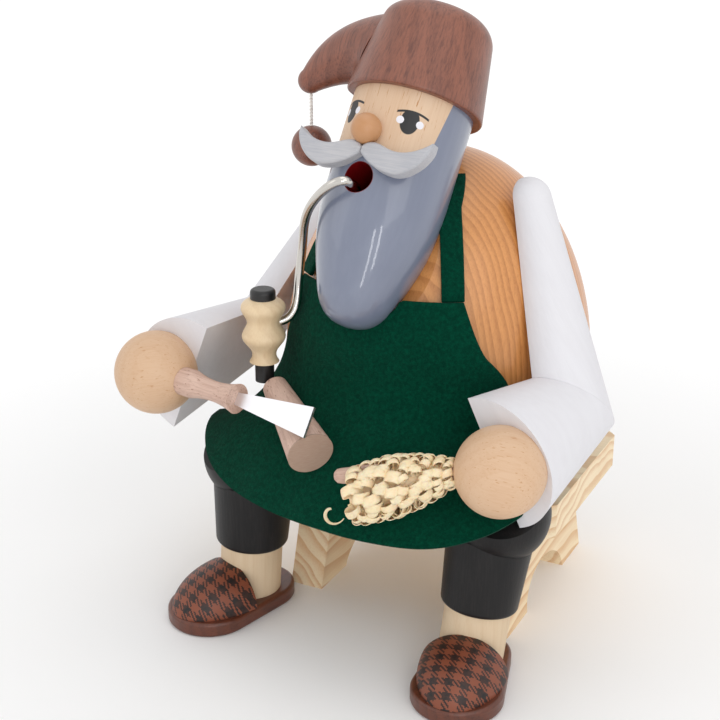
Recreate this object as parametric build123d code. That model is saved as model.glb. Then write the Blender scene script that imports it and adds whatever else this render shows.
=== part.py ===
from build123d import *
from math import asin, atan, cos, pi, radians, sin, sqrt, tan
import os

# All sizes are millimetres and degrees. The figure faces -Y and its left side is +X.

# Stool: a pine plank on two splayed panel legs
SEAT_HEIGHT = 39.5
SEAT_LENGTH = 86.0
SEAT_DEPTH = 61.2
SEAT_FRONT = 27.7
SEAT_THICKNESS = 9.5
SEAT_CORNER = 6.0
STOOL_TURN = 6.2
STOOL_SHIFT = 1.3
PANEL_THICKNESS = 9.7
PANEL_DEPTH = 59.4
PANEL_BACK = 1.7
PANEL_SPLAY = 8.2
PANEL_FOOT_SPREAD = 66.5
ARCH_WIDTH = 29.0
ARCH_HEIGHT = 9.5
STOOL_DOWEL_PITCH = 36.0
STOOL_DOWEL_RISE = 6.0
STOOL_DOWEL_DEPTH = 10.0

# Glued joints: beech dowels in blind holes
DOWEL_RADIUS = 3.0
THIN_DOWEL_RADIUS = 2.0
DOWEL_FIT = 0.05
DOWEL_END_ROOM = 0.5
DOWEL_SHORT = 5.0
DOWEL_LONG = 8.0
GLUE_LINE = 0.05

# Hip block that carries the legs and the incense tray
HIP_HEIGHT = 26.5
HIP_BASE_RADIUS = 31.0
HIP_TOP_RADIUS = 40.0
HIP_FLARE = 14.0
SPIGOT_RADIUS = 26.0
SPIGOT_HEIGHT = 5.0
LIFT_GAP = 0.3
TRAY_RADIUS = 12.0
TRAY_HEIGHT = 3.2
TRAY_WALL = 0.6
TACK_HEAD_RADIUS = 2.6
TACK_HEAD_HEIGHT = 0.8
TACK_SHANK_RADIUS = 0.8
TACK_LENGTH = 9.0

# Legs: the left foot is stretched out further than the right one
KNEE_HEIGHT = 44.0
KNEE_RADIUS = 12.7
KNEE_OUT = 1.6
THIGH_RADIUS = 11.8
THIGH_ROOT_RADIUS = 8.6
THIGH_ROOT_RISE = 16.5
THIGH_ROOT_PLACE = 34.0
KNEE_FLAT = 6.7
KNEE_FLAT_OUT = 0.23
KNEE_FLAT_FORWARD = 0.51
TROUSER_TOP_RADIUS = 11.2
TROUSER_TOP_HEIGHT = 38.0
TROUSER_HEM_RADIUS = 9.9
TROUSER_HEM_HEIGHT = 18.6
TROUSER_HEM_ROUND = 1.4
SHIN_RADIUS = 8.5
SHIN_PEG_RADIUS = 5.0
SHIN_PEG_LENGTH = 4.5
SOLE_THICKNESS = 4.2
SOLE_PEG_RADIUS = 4.0
SOLE_PEG_DEPTH = 2.2
SOLE_HEEL_RADIUS = 10.1
SOLE_HEEL_BACK = 3.0
SOLE_TOE_RADIUS = 11.8
SOLE_REACH = 14.0
SOLE_ROUND = 1.0
TOE_CAP_HEIGHT = 10.2
TOE_CAP_INSET = 0.4
TOE_CAP_START = 7.0
LEFT_ANKLE_OUT = 35.8
LEFT_ANKLE_FORWARD = 42.3
LEFT_LEG_LEAN = 3.3
LEFT_LEG_TILT = 9.0
LEFT_FOOT_TURN = 16.0
RIGHT_ANKLE_OUT = 33.4
RIGHT_ANKLE_FORWARD = 44.7
RIGHT_LEG_LEAN = -2.9
RIGHT_LEG_TILT = 2.0
RIGHT_FOOT_TURN = 13.0

# Torso: a turned egg, hollow for the smoke
TORSO_RADIUS = 42.0
TORSO_HALF_HEIGHT = 59.0
TORSO_CENTRE = 66.0
CHAMBER_RADIUS = 24.0
CHAMBER_HALF_HEIGHT = 44.0
SMOKE_RADIUS = 3.9

# Head and beard: one turned bullet, leaning forward, sawn flat behind
HEAD_LEAN = 32.0
HEAD_FORWARD = 27.3
HEAD_HEIGHT = 116.7
HEAD_RADIUS = 15.5
BEARD_LENGTH = 34.0
HEAD_FLAT = 6.0
NECK_DOWEL_DROP = 14.0
NECK_DOWEL_REACH = 7.0
NOSE_RADIUS = 3.8
NOSE_RISE = 11.5
NOSE_SIDE = -0.2
NOSE_STAND = 2.3
MOUSTACHE_REACH = 18.8
MOUSTACHE_THICKNESS = 3.4
MOUSTACHE_SINK = 0.6
MOUSTACHE_ROUND = 0.8
MOUSTACHE_UPPER = ((0.0, 7.0), (0.08, 8.2), (0.18, 8.4), (0.39, 7.3), (0.6, 6.9), (0.78, 7.7), (1.0, 10.1))
MOUSTACHE_LOWER = ((0.0, 5.6), (0.21, 2.8), (0.44, 1.4), (0.6, 1.3), (0.77, 2.6), (0.92, 5.2), (1.0, 8.2))

# Cap: turned body, glued on tip, bobble on a thread
BRIM_RISE = 24.0
BRIM_RADIUS = 17.8
CROWN_RADIUS = 14.0
CROWN_HEIGHT = 25.2
CROWN_ROUND = 6.5
BRIM_ROUND = 0.7
CAP_BORE_DEPTH = 6.5
CAP_ROOM = 0.4
FACET_FOOT = 15.6
FACET_LEAN = 17.0
TIP_REACH = 31.0
TIP_RISE = 3.2
TIP_FORWARD = 3.0
TIP_BULGE = 3.9
TIP_ROOT_HALF = 11.0
TIP_ROOT_HEIGHT = 12.9
TIP_MIDDLE_HALF = 7.4
TIP_MIDDLE_HEIGHT = 8.0
TIP_END_RADIUS = 3.4
THREAD_RADIUS = 0.35
THREAD_HOLE_RADIUS = 0.9
THREAD_FREE = 8.5
THREAD_ANCHOR = 2.0
THREAD_GLUED = 6.0
BOBBLE_RADIUS = 5.4
BOBBLE_BORE_RADIUS = 0.4

# Arms: half cones with a flat inner side, mitred at the elbow
SHOULDER_SPREAD = 27.5
SHOULDER_HEIGHT = 115.0
ARM_LEAN = 23.5
LEFT_SHOULDER_FORWARD = 3.0
LEFT_ARM_TOE_IN = 13.6
LEFT_ARM_SWING = 8.0
LEFT_ELBOW_BEND = 73.6
LEFT_FOREARM_LENGTH = 29.5
RIGHT_SHOULDER_FORWARD = -7.0
RIGHT_ARM_TOE_IN = 3.3
RIGHT_ARM_SWING = 22.2
RIGHT_ELBOW_BEND = 65.1
RIGHT_FOREARM_LENGTH = 38.0
UPPER_ARM_LENGTH = 55.0
SHOULDER_RADIUS = 5.8
ELBOW_RADIUS = 11.2
CUFF_RADIUS = 17.2
ARM_ROOM = 0.4
SHOULDER_DOWEL_PLACE = 16.0
SHOULDER_DOWEL_REACH = 5.0
HAND_RADIUS = 11.0
HAND_STAND = 5.6
HAND_LIFT = 7.1
ELBOW_DOWEL_LIFT = 5.0
WRIST_DOWEL_REACH = 7.0

# Long pipe: bent wire stem, turned bowl, lid and ferrule
STEM_RADIUS = 1.15
STEM_LIP = 3.2
STEM_MOUTH_TURN = 27.0
STEM_FIT = 0.1
STEM_CHEEK = (-12.6, -12.6, -8.6)
STEM_BEARD = (-18.4, -2.4, -16.2)
STEM_BELLY = (-20.2, -37.4, 93.5)
STEM_TURN = (-20.4, -39.4, 86.6)
BOWL_SIDE = 26.0
BOWL_FORWARD = 45.1
BOWL_FOOT = 73.4
BOWL_HEIGHT = 17.2
BOWL_BULGE_RADIUS = 5.7
BOWL_WAIST_RADIUS = 4.3
BOWL_FOOT_RADIUS = 3.9
BOWL_NECK_RADIUS = 3.4
BOWL_NECK = 0.18
BOWL_LOW_BULGE = 0.41
BOWL_WAIST = 0.63
BOWL_HIGH_BULGE = 0.82
LID_RADIUS = 3.3
LID_HEIGHT = 2.6
LID_PEG_RADIUS = 1.6
LID_PEG_LENGTH = 3.0
LID_PEG_ROOT = 1.0
LID_ROUND = 1.0
FERRULE_RADIUS = 2.5
FERRULE_LENGTH = 5.4

# Chisel in the right hand
CHISEL_PAST_BLANK = 1.2
CHISEL_BEFORE_BLANK = 2.4
CHISEL_OVER_BLANK = 3.6
HANDLE_LENGTH = 21.4
HANDLE_GRIP_RADIUS = 3.7
HANDLE_GRIP_LENGTH = 6.0
HANDLE_WAIST_PLACE = 0.6
HANDLE_WAIST_RADIUS = 2.7
HANDLE_END_RADIUS = 3.9
HANDLE_SOCKET = 3.0
BLADE_LENGTH = 24.0
BLADE_ROOT_WIDTH = 3.2
BLADE_EDGE_WIDTH = 7.8
BLADE_THICKNESS = 0.8
BLADE_TANG = 3.0
BLADE_TWIST = 122.0

# Work on the lap
BLANK_HIGH = (-21.6, -46.6, 67.5)
BLANK_LOW = (0.2, -61.8, 60.0)
BLANK_THIN_RADIUS = 3.3
BLANK_WIDE_RADIUS = 5.9
TREE_NIB = (9.4, -65.1, 57.7)
CHIP_TREE_RADIUS = 7.8
CHIP_TREE_TIERS = 7
CHIP_SWELL_START = 0.22
CHIP_SWELL_SPAN = 0.6
CHIP_TRUNK_RADIUS = 2.0
CHIP_NIB_LENGTH = 2.4
CHIP_TIER_DEPTH = 1.2
CHIP_TRUNK_SOCKET = 4.0

# Felt apron: bib on the belly, skirt over the knees
FELT = 1.2
FELT_GAP = 0.6
BIB_TOP_HEIGHT = 94.6
BIB_FOOT_HEIGHT = 72.0
SKIRT_LINE = ((45.6, 67.0), (50.5, 61.5), (56.0, 55.5), (61.5, 49.0), (67.0, 42.0))
SKIRT_HALF = 48.5
SKIRT_SHIFT = 2.0
HEM_FORWARD = 66.5
HEM_CENTRE = 40.0
APRON_CUTS = (
    (0.0, 21.5, 24.3, 41.2),
    (0.22, 23.3, 30.4, 43.6),
    (0.39, 27.0, 35.5, 45.0),
    (0.5, 32.0, 38.5, 57.0),
    (0.62, 46.0, 48.0, 90.0),
    (0.81, 54.0, 58.0, 112.0),
    (1.0, 56.0, 60.0, 112.0),
)
STRAP_TURN = 35.2
STRAP_TOP_LATITUDE = 58.0
STRAP_WIDTH = 5.8
STRAP_STEPS = 4


HEAD_TOP = BRIM_RISE + CAP_BORE_DEPTH
WAIST_HEIGHT = SEAT_HEIGHT + HIP_HEIGHT
BASE = (Align.CENTER, Align.CENTER, Align.MIN)


def rod(start, end, radius):
    """Round rod from one point to another."""
    start = Vector(start)
    along = Vector(end) - start
    return Plane(origin=start, z_dir=along) * Cylinder(radius, along.length, align=BASE)


def taper(start, end, start_radius, end_radius):
    """Round tapered rod from one point to another."""
    start = Vector(start)
    along = Vector(end) - start
    return Plane(origin=start, z_dir=along) * Cone(start_radius, end_radius, along.length, align=BASE)


def pegged(seat, along, short, long, radius):
    """A dowel across a joint and the hole that takes it."""
    dowel = rod(seat - along * short, seat + along * long, radius)
    hole_start = seat - along * (short + DOWEL_END_ROOM)
    hole_end = seat + along * (long + DOWEL_END_ROOM)
    return dowel, rod(hole_start, hole_end, radius + DOWEL_FIT)


def turned(*outline):
    """Solid turned about Z from (radius, height) points joined by straight lines."""
    return revolve(Plane.XZ * make_face(Polyline(*outline, close=True)), Axis.Z)


def turned_spline(*outline):
    """Solid turned about Z with a smooth side through (radius, height) points and flat ends."""
    side = Spline(*outline)
    first = outline[0]
    last = outline[-1]
    ends = Polyline(last, (0, last[1]), (0, first[1]), first)
    return revolve(Plane.XZ * make_face(side + ends), Axis.Z)


def egg(radius, half_height, centre):
    """Ellipsoid turned about Z."""
    side = EllipticalCenterArc((0, centre), radius, half_height, start_angle=-90, arc_size=180)
    return revolve(Plane.XZ * make_face(side + Line(side @ 1, side @ 0)), Axis.Z)


def mirrored(shape):
    """The same piece on the figure's other side."""
    return shape.mirror(Plane.YZ)


def torso_radius(height):
    """Radius of the egg at a height."""
    return TORSO_RADIUS * sqrt(1 - ((height - TORSO_CENTRE) / TORSO_HALF_HEIGHT) ** 2)


def torso_egg(grow):
    """The outside of the torso, grown by a felt layer or a gap."""
    return egg(TORSO_RADIUS + grow, TORSO_HALF_HEIGHT + grow, TORSO_CENTRE)


def arm_plane(toe_in, forward):
    """The plane of an arm's flat side, for a left arm: X runs down the arm and Z points outward."""
    lean = radians(ARM_LEAN)
    turn = radians(toe_in)
    outward = Vector(cos(lean) * cos(turn), -cos(lean) * sin(turn), sin(lean))
    down = Vector(sin(lean) * cos(turn), -sin(lean) * sin(turn), -cos(lean))
    shoulder = Vector(SHOULDER_SPREAD, -forward, SHOULDER_HEIGHT)
    return Plane(origin=shoulder, x_dir=down, z_dir=outward)


# Places that several pieces share
LEAN = radians(HEAD_LEAN)
HEAD = Plane(origin=(0, -HEAD_FORWARD, HEAD_HEIGHT), x_dir=(1, 0, 0), z_dir=(0, sin(LEAN), cos(LEAN)))
LEFT_ARM = arm_plane(LEFT_ARM_TOE_IN, LEFT_SHOULDER_FORWARD)
RIGHT_ARM = arm_plane(RIGHT_ARM_TOE_IN, RIGHT_SHOULDER_FORWARD)
KNEE_FLAT_DIRECTION = Vector(KNEE_FLAT_OUT, -KNEE_FLAT_FORWARD, 1 - KNEE_FLAT_OUT).normalized()

pieces = {}


# Stool
def make_stool():
    under = SEAT_HEIGHT - SEAT_THICKNESS
    lean = tan(radians(PANEL_SPLAY))
    across = PANEL_THICKNESS / cos(radians(PANEL_SPLAY))
    foot = PANEL_FOOT_SPREAD / 2
    place = Pos(STOOL_SHIFT, 0, 0) * Rot(0, 0, STOOL_TURN)
    outline = Rectangle(SEAT_LENGTH, SEAT_DEPTH)
    seat = extrude(chamfer(outline.vertices(), SEAT_CORNER), SEAT_THICKNESS)
    seat = Pos(0, SEAT_DEPTH / 2 - SEAT_FRONT, under) * seat
    section = Polyline(
        (foot, 0),
        (foot - lean * under, under),
        (foot - lean * under - across, under),
        (foot - across, 0),
        close=True,
    )
    panel = extrude(Plane.XZ * make_face(section), PANEL_DEPTH / 2, both=True)
    panel -= extrude(Plane.YZ * Ellipse(ARCH_WIDTH / 2, ARCH_HEIGHT), PANEL_FOOT_SPREAD)
    panel = Pos(0, PANEL_BACK, 0) * panel
    dowel_side = foot - across / 2 - lean * (under - STOOL_DOWEL_DEPTH / 2)
    dowels = []
    for side in (-1, 1):
        for end in (-1, 1):
            spot = Vector(side * dowel_side, PANEL_BACK + end * STOOL_DOWEL_PITCH / 2, under)
            dowel, hole = pegged(spot, Vector(0, 0, 1), STOOL_DOWEL_DEPTH, STOOL_DOWEL_RISE, DOWEL_RADIUS)
            dowels.append(place * dowel)
            seat -= hole
            if side > 0:
                panel -= hole
    pieces["stool_seat"] = place * seat
    pieces["stool_leg_left"] = place * panel
    pieces["stool_leg_right"] = place * mirrored(panel)
    pieces["stool_dowels"] = Compound(children=dowels)


# Hip block, incense tray and tack
def hip_outline(grow):
    """The turned hip block, grown sideways by a glue line."""
    return turned(
        (0, SEAT_HEIGHT),
        (HIP_BASE_RADIUS + grow, SEAT_HEIGHT),
        (HIP_TOP_RADIUS + grow, SEAT_HEIGHT + HIP_FLARE),
        (HIP_TOP_RADIUS + grow, WAIST_HEIGHT),
        (0, WAIST_HEIGHT),
    )


def make_hip():
    spigot_top = WAIST_HEIGHT + SPIGOT_HEIGHT
    hip = hip_outline(0)
    hip += Pos(0, 0, WAIST_HEIGHT) * Cylinder(SPIGOT_RADIUS, SPIGOT_HEIGHT, align=BASE)
    tack_seat = spigot_top + TRAY_WALL
    tack_end = tack_seat - TACK_LENGTH
    hip -= rod((0, 0, tack_end - DOWEL_END_ROOM), (0, 0, tack_seat), TACK_SHANK_RADIUS + DOWEL_FIT)
    dish = Cylinder(TRAY_RADIUS, TRAY_HEIGHT, align=BASE)
    dish -= Pos(0, 0, TRAY_WALL) * Cylinder(TRAY_RADIUS - TRAY_WALL, TRAY_HEIGHT, align=BASE)
    dish -= Cylinder(TACK_SHANK_RADIUS + DOWEL_FIT, TRAY_HEIGHT, align=BASE)
    tack = Pos(0, 0, tack_seat) * Cylinder(TACK_HEAD_RADIUS, TACK_HEAD_HEIGHT, align=BASE)
    tack += rod((0, 0, tack_end), (0, 0, tack_seat), TACK_SHANK_RADIUS)
    pieces["hip_block"] = hip
    pieces["incense_tray"] = Pos(0, 0, spigot_top) * dish
    pieces["tray_tack"] = tack


# Legs
def make_leg(side, ankle_out, ankle_forward, lean, tilt, foot_turn):
    """One leg, built as a left one; returns its hip dowel, hip hole and knee dowel."""
    axis = Vector(tan(radians(lean)), tan(radians(tilt)), 1).normalized()
    ankle = Vector(ankle_out, -ankle_forward, SOLE_THICKNESS)
    hem = ankle + axis * ((TROUSER_HEM_HEIGHT - SOLE_THICKNESS) / axis.Z)
    trouser_top = ankle + axis * ((TROUSER_TOP_HEIGHT - SOLE_THICKNESS) / axis.Z)
    bend = ankle + axis * ((KNEE_HEIGHT - SOLE_THICKNESS) / axis.Z)
    knee = bend + Vector(KNEE_OUT, 0, 0)
    knee_place = sqrt(knee.X ** 2 + knee.Y ** 2)
    inward = THIGH_ROOT_PLACE / knee_place
    root = Vector(knee.X * inward, knee.Y * inward, SEAT_HEIGHT + THIGH_ROOT_RISE)
    thigh_axis = (root - knee).normalized()

    ball = Pos(*knee) * Sphere(KNEE_RADIUS)
    thigh = ball + taper(knee, root, THIGH_RADIUS, THIGH_ROOT_RADIUS)
    knee_flat = Plane(origin=knee + KNEE_FLAT_DIRECTION * KNEE_FLAT, z_dir=KNEE_FLAT_DIRECTION)
    thigh = split(thigh, knee_flat, keep=Keep.BOTTOM) - hip_outline(GLUE_LINE)
    trouser = taper(hem, trouser_top, TROUSER_HEM_RADIUS, TROUSER_TOP_RADIUS)
    trouser = fillet(trouser.edges().sort_by(Axis.Z)[0], TROUSER_HEM_ROUND)
    trouser -= Plane(origin=knee, z_dir=(1, 0, 0)) * Sphere(KNEE_RADIUS + GLUE_LINE)
    shin_peg, shin_hole = pegged(hem, axis, 0, SHIN_PEG_LENGTH, SHIN_PEG_RADIUS)
    sole_peg, sole_hole = pegged(ankle, axis, SOLE_PEG_DEPTH, 1, SOLE_PEG_RADIUS)
    shin = rod(ankle - axis * SHIN_RADIUS, hem, SHIN_RADIUS)
    shin = split(shin, Plane.XY.offset(SOLE_THICKNESS), keep=Keep.TOP) + shin_peg + sole_peg
    trouser -= shin_hole

    foot = Pos(ankle.X, ankle.Y, 0) * Rot(0, 0, foot_turn)
    heel = Pos(0, SOLE_HEEL_BACK) * Circle(SOLE_HEEL_RADIUS)
    toe = Pos(0, -SOLE_REACH) * Circle(SOLE_TOE_RADIUS)
    sole = extrude(make_hull(heel.edges() + toe.edges()), SOLE_THICKNESS)
    rims = sole.edges().group_by(Axis.Z)
    sole = foot * fillet(rims[0] + rims[-1], SOLE_ROUND) - sole_hole
    cap_length = SOLE_REACH + SOLE_TOE_RADIUS - TOE_CAP_INSET - TOE_CAP_START
    cap_half = SOLE_TOE_RADIUS - TOE_CAP_INSET
    toe_cap = scale(Sphere(1), by=(cap_half, cap_length, TOE_CAP_HEIGHT))
    toe_cap = split(toe_cap, Plane.XY, keep=Keep.TOP)
    toe_cap = Pos(0, -TOE_CAP_START, SOLE_THICKNESS) * split(toe_cap, Plane.XZ, keep=Keep.TOP)
    toe_cap = foot * toe_cap - rod(ankle - axis * SHIN_RADIUS, hem, SHIN_RADIUS + GLUE_LINE)

    hip_share = (knee_place - HIP_TOP_RADIUS) / (knee_place - THIGH_ROOT_PLACE)
    hip_seat = knee + thigh_axis * (hip_share * (root - knee).length)
    hip_dowel, hip_hole = pegged(hip_seat, thigh_axis, DOWEL_SHORT, DOWEL_LONG, DOWEL_RADIUS)
    crown = bend - axis * sqrt(KNEE_RADIUS ** 2 - KNEE_OUT ** 2)
    knee_dowel, knee_hole = pegged(crown, axis, DOWEL_SHORT, DOWEL_LONG, DOWEL_RADIUS)
    made = {
        "thigh_": thigh - hip_hole - knee_hole,
        "trouser_leg_": trouser - knee_hole,
        "shin_": shin,
        "slipper_sole_": sole,
        "slipper_toe_": toe_cap,
    }
    made_joints = [hip_dowel, hip_hole, knee_dowel]
    if side == "right":
        made = {name: mirrored(shape) for name, shape in made.items()}
        made_joints = [mirrored(shape) for shape in made_joints]
    for name, shape in made.items():
        pieces[name + side] = shape
    return made_joints


def make_legs():
    left_hip, left_hole, left_knee = make_leg(
        "left", LEFT_ANKLE_OUT, LEFT_ANKLE_FORWARD, LEFT_LEG_LEAN, LEFT_LEG_TILT, LEFT_FOOT_TURN
    )
    right_hip, right_hole, right_knee = make_leg(
        "right", RIGHT_ANKLE_OUT, RIGHT_ANKLE_FORWARD, RIGHT_LEG_LEAN, RIGHT_LEG_TILT, RIGHT_FOOT_TURN
    )
    pieces["hip_block"] = pieces["hip_block"] - left_hole - right_hole
    pieces["hip_dowels"] = Compound(children=[left_hip, right_hip])
    pieces["knee_dowels"] = Compound(children=[left_knee, right_knee])


# Torso, head and cap
def head_outline(grow):
    """The turned bullet with its flat back, in the head's frame."""
    radius = HEAD_RADIUS + grow
    tip = -BEARD_LENGTH - grow
    top = HEAD_TOP + grow
    cheek = (radius * sin(pi / 4), tip * cos(pi / 4))
    beard = Spline((0, tip), cheek, (radius, 0), tangents=[(1, 0), (0, 1)])
    rest = Polyline((radius, 0), (radius, top), (0, top), (0, tip))
    bullet = revolve(Plane.XZ * make_face(beard + rest), Axis.Z)
    return split(bullet, Plane.XZ.offset(-HEAD_FLAT - grow), keep=Keep.TOP)


def make_torso_and_head():
    neck_seat = Vector(0, HEAD_FLAT, -NECK_DOWEL_DROP)
    neck_way = Vector(0, 1, 0)
    neck_dowel, neck_hole = pegged(neck_seat, neck_way, NECK_DOWEL_REACH, NECK_DOWEL_REACH, DOWEL_RADIUS)
    smoke_bore = rod((0, -2 * HEAD_RADIUS, 0), (0, HEAD_FORWARD / cos(LEAN), 0), SMOKE_RADIUS)
    room = 2 * TORSO_HALF_HEIGHT
    in_front = Box(room, room, room, align=(Align.CENTER, Align.MAX, Align.CENTER))
    cap_space = Cylinder(BRIM_RADIUS + CAP_ROOM, room, align=BASE)

    torso = split(torso_egg(0), Plane.XY.offset(WAIST_HEIGHT), keep=Keep.TOP)
    torso -= egg(CHAMBER_RADIUS, CHAMBER_HALF_HEIGHT, TORSO_CENTRE)
    recess = Cylinder(SPIGOT_RADIUS + LIFT_GAP, 2 * (SPIGOT_HEIGHT + LIFT_GAP))
    torso -= Pos(0, 0, WAIST_HEIGHT) * recess
    torso -= HEAD * (Pos(0, HEAD_FLAT, 0) * in_front)
    torso -= HEAD * (Pos(0, 0, BRIM_RISE - CAP_ROOM) * cap_space)
    torso = split(torso, LEFT_ARM, keep=Keep.BOTTOM)
    torso = mirrored(split(mirrored(torso), RIGHT_ARM, keep=Keep.BOTTOM))
    pieces["torso"] = torso - HEAD * smoke_bore - HEAD * neck_hole
    pieces["head"] = HEAD * (head_outline(0) - smoke_bore - neck_hole)
    pieces["neck_dowel"] = HEAD * neck_dowel

    nose_place = HEAD.from_local_coords(Vector(NOSE_SIDE, -HEAD_RADIUS - NOSE_STAND, NOSE_RISE))
    pieces["nose"] = Pos(*nose_place) * Sphere(NOSE_RADIUS) - HEAD * head_outline(GLUE_LINE)
    upper = Spline(*[(MOUSTACHE_REACH * along, rise) for along, rise in MOUSTACHE_UPPER])
    lower = Spline(*[(MOUSTACHE_REACH * along, rise) for along, rise in MOUSTACHE_LOWER])
    closing = [Line(upper @ 0, lower @ 0), Line(upper @ 1, lower @ 1)]
    wing = extrude(Plane.XZ * make_face(upper + lower + closing), MOUSTACHE_THICKNESS)
    wing = Pos(GLUE_LINE, MOUSTACHE_SINK - HEAD_RADIUS, 0) * wing
    front = wing.faces().sort_by(Axis.Y)[0]
    wing = HEAD * fillet(front.edges(), MOUSTACHE_ROUND) - HEAD * head_outline(GLUE_LINE)
    nose_room = Pos(*nose_place) * Sphere(NOSE_RADIUS + GLUE_LINE)
    pieces["moustache_left"] = wing - nose_room
    pieces["moustache_right"] = mirrored(wing) - nose_room


def make_cap():
    crown_top = BRIM_RISE + CROWN_HEIGHT
    cap = turned((0, BRIM_RISE), (BRIM_RADIUS, BRIM_RISE), (CROWN_RADIUS, crown_top), (0, crown_top))
    cap = fillet(cap.edges().filter_by(GeomType.CIRCLE).sort_by(Axis.Z)[-1], CROWN_ROUND)
    cap = fillet(cap.edges().filter_by(GeomType.CIRCLE).sort_by(Axis.Z)[0], BRIM_ROUND)
    lean = radians(FACET_LEAN)
    outward = Vector(-cos(lean), 0, sin(lean))
    up_facet = Vector(sin(lean), 0, cos(lean))
    foot = Vector(-FACET_FOOT, 0, BRIM_RISE)
    facet = Plane(origin=foot, x_dir=(0, 1, 0), z_dir=outward)
    cap = split(cap, facet, keep=Keep.BOTTOM) - head_outline(DOWEL_FIT)

    tip_end = Vector(-TIP_REACH, -TIP_FORWARD, BRIM_RISE + TIP_RISE)
    root_place = foot + up_facet * TIP_ROOT_HEIGHT
    middle = (root_place + tip_end) / 2 + Vector(0, 0, TIP_BULGE)
    root = Plane(origin=root_place, x_dir=(0, 1, 0), z_dir=outward)
    root *= Ellipse(TIP_ROOT_HALF, TIP_ROOT_HEIGHT)
    bend = Plane(origin=middle, x_dir=(0, 1, 0), z_dir=tip_end - root_place)
    bend *= Ellipse(TIP_MIDDLE_HALF, TIP_MIDDLE_HEIGHT)
    end = Plane(origin=tip_end, x_dir=(0, 1, 0), z_dir=(-1, 0, -1)) * Circle(TIP_END_RADIUS)
    tip = loft([root, bend, end]) + Pos(*tip_end) * Sphere(TIP_END_RADIUS)
    pieces["cap_body"] = HEAD * cap
    pieces["cap_tip"] = HEAD * (tip - head_outline(DOWEL_FIT))

    hang = HEAD.from_local_coords(tip_end) - Vector(0, 0, TIP_END_RADIUS)
    thread_top = hang + Vector(0, 0, THREAD_ANCHOR)
    bobble_top = hang - Vector(0, 0, THREAD_FREE)
    bobble_place = bobble_top - Vector(0, 0, BOBBLE_RADIUS)
    thread_end = bobble_top - Vector(0, 0, THREAD_GLUED)
    tip_hole = rod(hang - Vector(0, 0, 1), thread_top + Vector(0, 0, DOWEL_END_ROOM), THREAD_HOLE_RADIUS)
    pieces["cap_tip"] -= tip_hole
    hole_end = thread_end - Vector(0, 0, DOWEL_END_ROOM)
    bobble_hole = rod(hole_end, bobble_top + Vector(0, 0, 1), BOBBLE_BORE_RADIUS)
    pieces["bobble"] = Pos(*bobble_place) * Sphere(BOBBLE_RADIUS) - bobble_hole
    pieces["thread"] = rod(thread_end, thread_top, THREAD_RADIUS)


# Arms and hands
def make_arm(side, place, swing, bend, fore_length):
    """One arm, built as a left one on the plane of its flat; returns its dowels, room and hand centre."""
    upper_turn = radians(swing)
    fore_turn = radians(swing + bend)
    upper_way = Vector(cos(upper_turn), -sin(upper_turn), 0)
    fore_way = Vector(cos(fore_turn), -sin(fore_turn), 0)
    rise = Vector(0, 0, 1)
    upper_slope = (ELBOW_RADIUS - SHOULDER_RADIUS) / UPPER_ARM_LENGTH
    fore_slope = (CUFF_RADIUS - ELBOW_RADIUS) / fore_length
    upper_cos = cos(atan(upper_slope))
    fore_cos = cos(atan(fore_slope))
    elbow_ball = ELBOW_RADIUS * upper_cos
    elbow = upper_way * UPPER_ARM_LENGTH
    cuff = elbow + fore_way * fore_length
    past = 1.5 * ELBOW_RADIUS

    mitre_way = upper_way / upper_cos + fore_way / fore_cos
    mitre_shift = elbow_ball * (upper_slope + fore_slope) / mitre_way.length ** 2
    mitre_place = elbow - mitre_way * mitre_shift
    mitre = Plane(origin=mitre_place, z_dir=mitre_way)
    upper = taper((0, 0, 0), elbow + upper_way * past, SHOULDER_RADIUS, ELBOW_RADIUS + past * upper_slope)
    upper += Sphere(SHOULDER_RADIUS)
    upper = split(split(upper, Plane.XY, keep=Keep.TOP), mitre, keep=Keep.BOTTOM)
    fore_start = elbow_ball / fore_cos - past * fore_slope
    fore = taper(elbow - fore_way * past, cuff, fore_start, CUFF_RADIUS)
    fore = split(split(fore, Plane.XY, keep=Keep.TOP), mitre, keep=Keep.TOP)
    rest_place = cuff + fore_way * ARM_ROOM
    arm_rest = taper(elbow - fore_way * past, rest_place, fore_start + ARM_ROOM, CUFF_RADIUS + ARM_ROOM)
    arm_rest = split(arm_rest, Plane.XY.offset(-ARM_ROOM), keep=Keep.TOP)

    palm = cuff + rise * HAND_LIFT
    hand_place = palm + fore_way * HAND_STAND
    hand = Pos(*hand_place) * Sphere(HAND_RADIUS)
    hand = split(hand, Plane(origin=cuff, z_dir=fore_way), keep=Keep.TOP)

    shoulder_seat = upper_way * SHOULDER_DOWEL_PLACE
    elbow_seat = mitre_place + rise * ELBOW_DOWEL_LIFT
    across = mitre_way.normalized()
    thin = THIN_DOWEL_RADIUS
    shoulder_dowel, shoulder_hole = pegged(shoulder_seat, rise, DOWEL_LONG, SHOULDER_DOWEL_REACH, thin)
    elbow_dowel, elbow_hole = pegged(elbow_seat, across, DOWEL_SHORT, DOWEL_SHORT, thin)
    wrist_dowel, wrist_hole = pegged(palm, fore_way, WRIST_DOWEL_REACH, WRIST_DOWEL_REACH, DOWEL_RADIUS)
    made = [
        upper - shoulder_hole - elbow_hole,
        fore - elbow_hole - wrist_hole,
        hand - wrist_hole,
        shoulder_dowel,
        elbow_dowel,
        wrist_dowel,
        shoulder_hole,
        arm_rest,
    ]
    made = [place * shape for shape in made]
    hand_centre = place.from_local_coords(hand_place)
    if side == "right":
        made = [mirrored(shape) for shape in made]
        hand_centre = Vector(-hand_centre.X, hand_centre.Y, hand_centre.Z)
    pieces["upper_arm_" + side] = made[0]
    pieces["forearm_" + side] = made[1]
    pieces["hand_" + side] = made[2]
    pieces["torso"] -= made[6]
    pieces["thigh_" + side] -= made[7]
    return made[3:6], made[7], hand_centre


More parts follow.
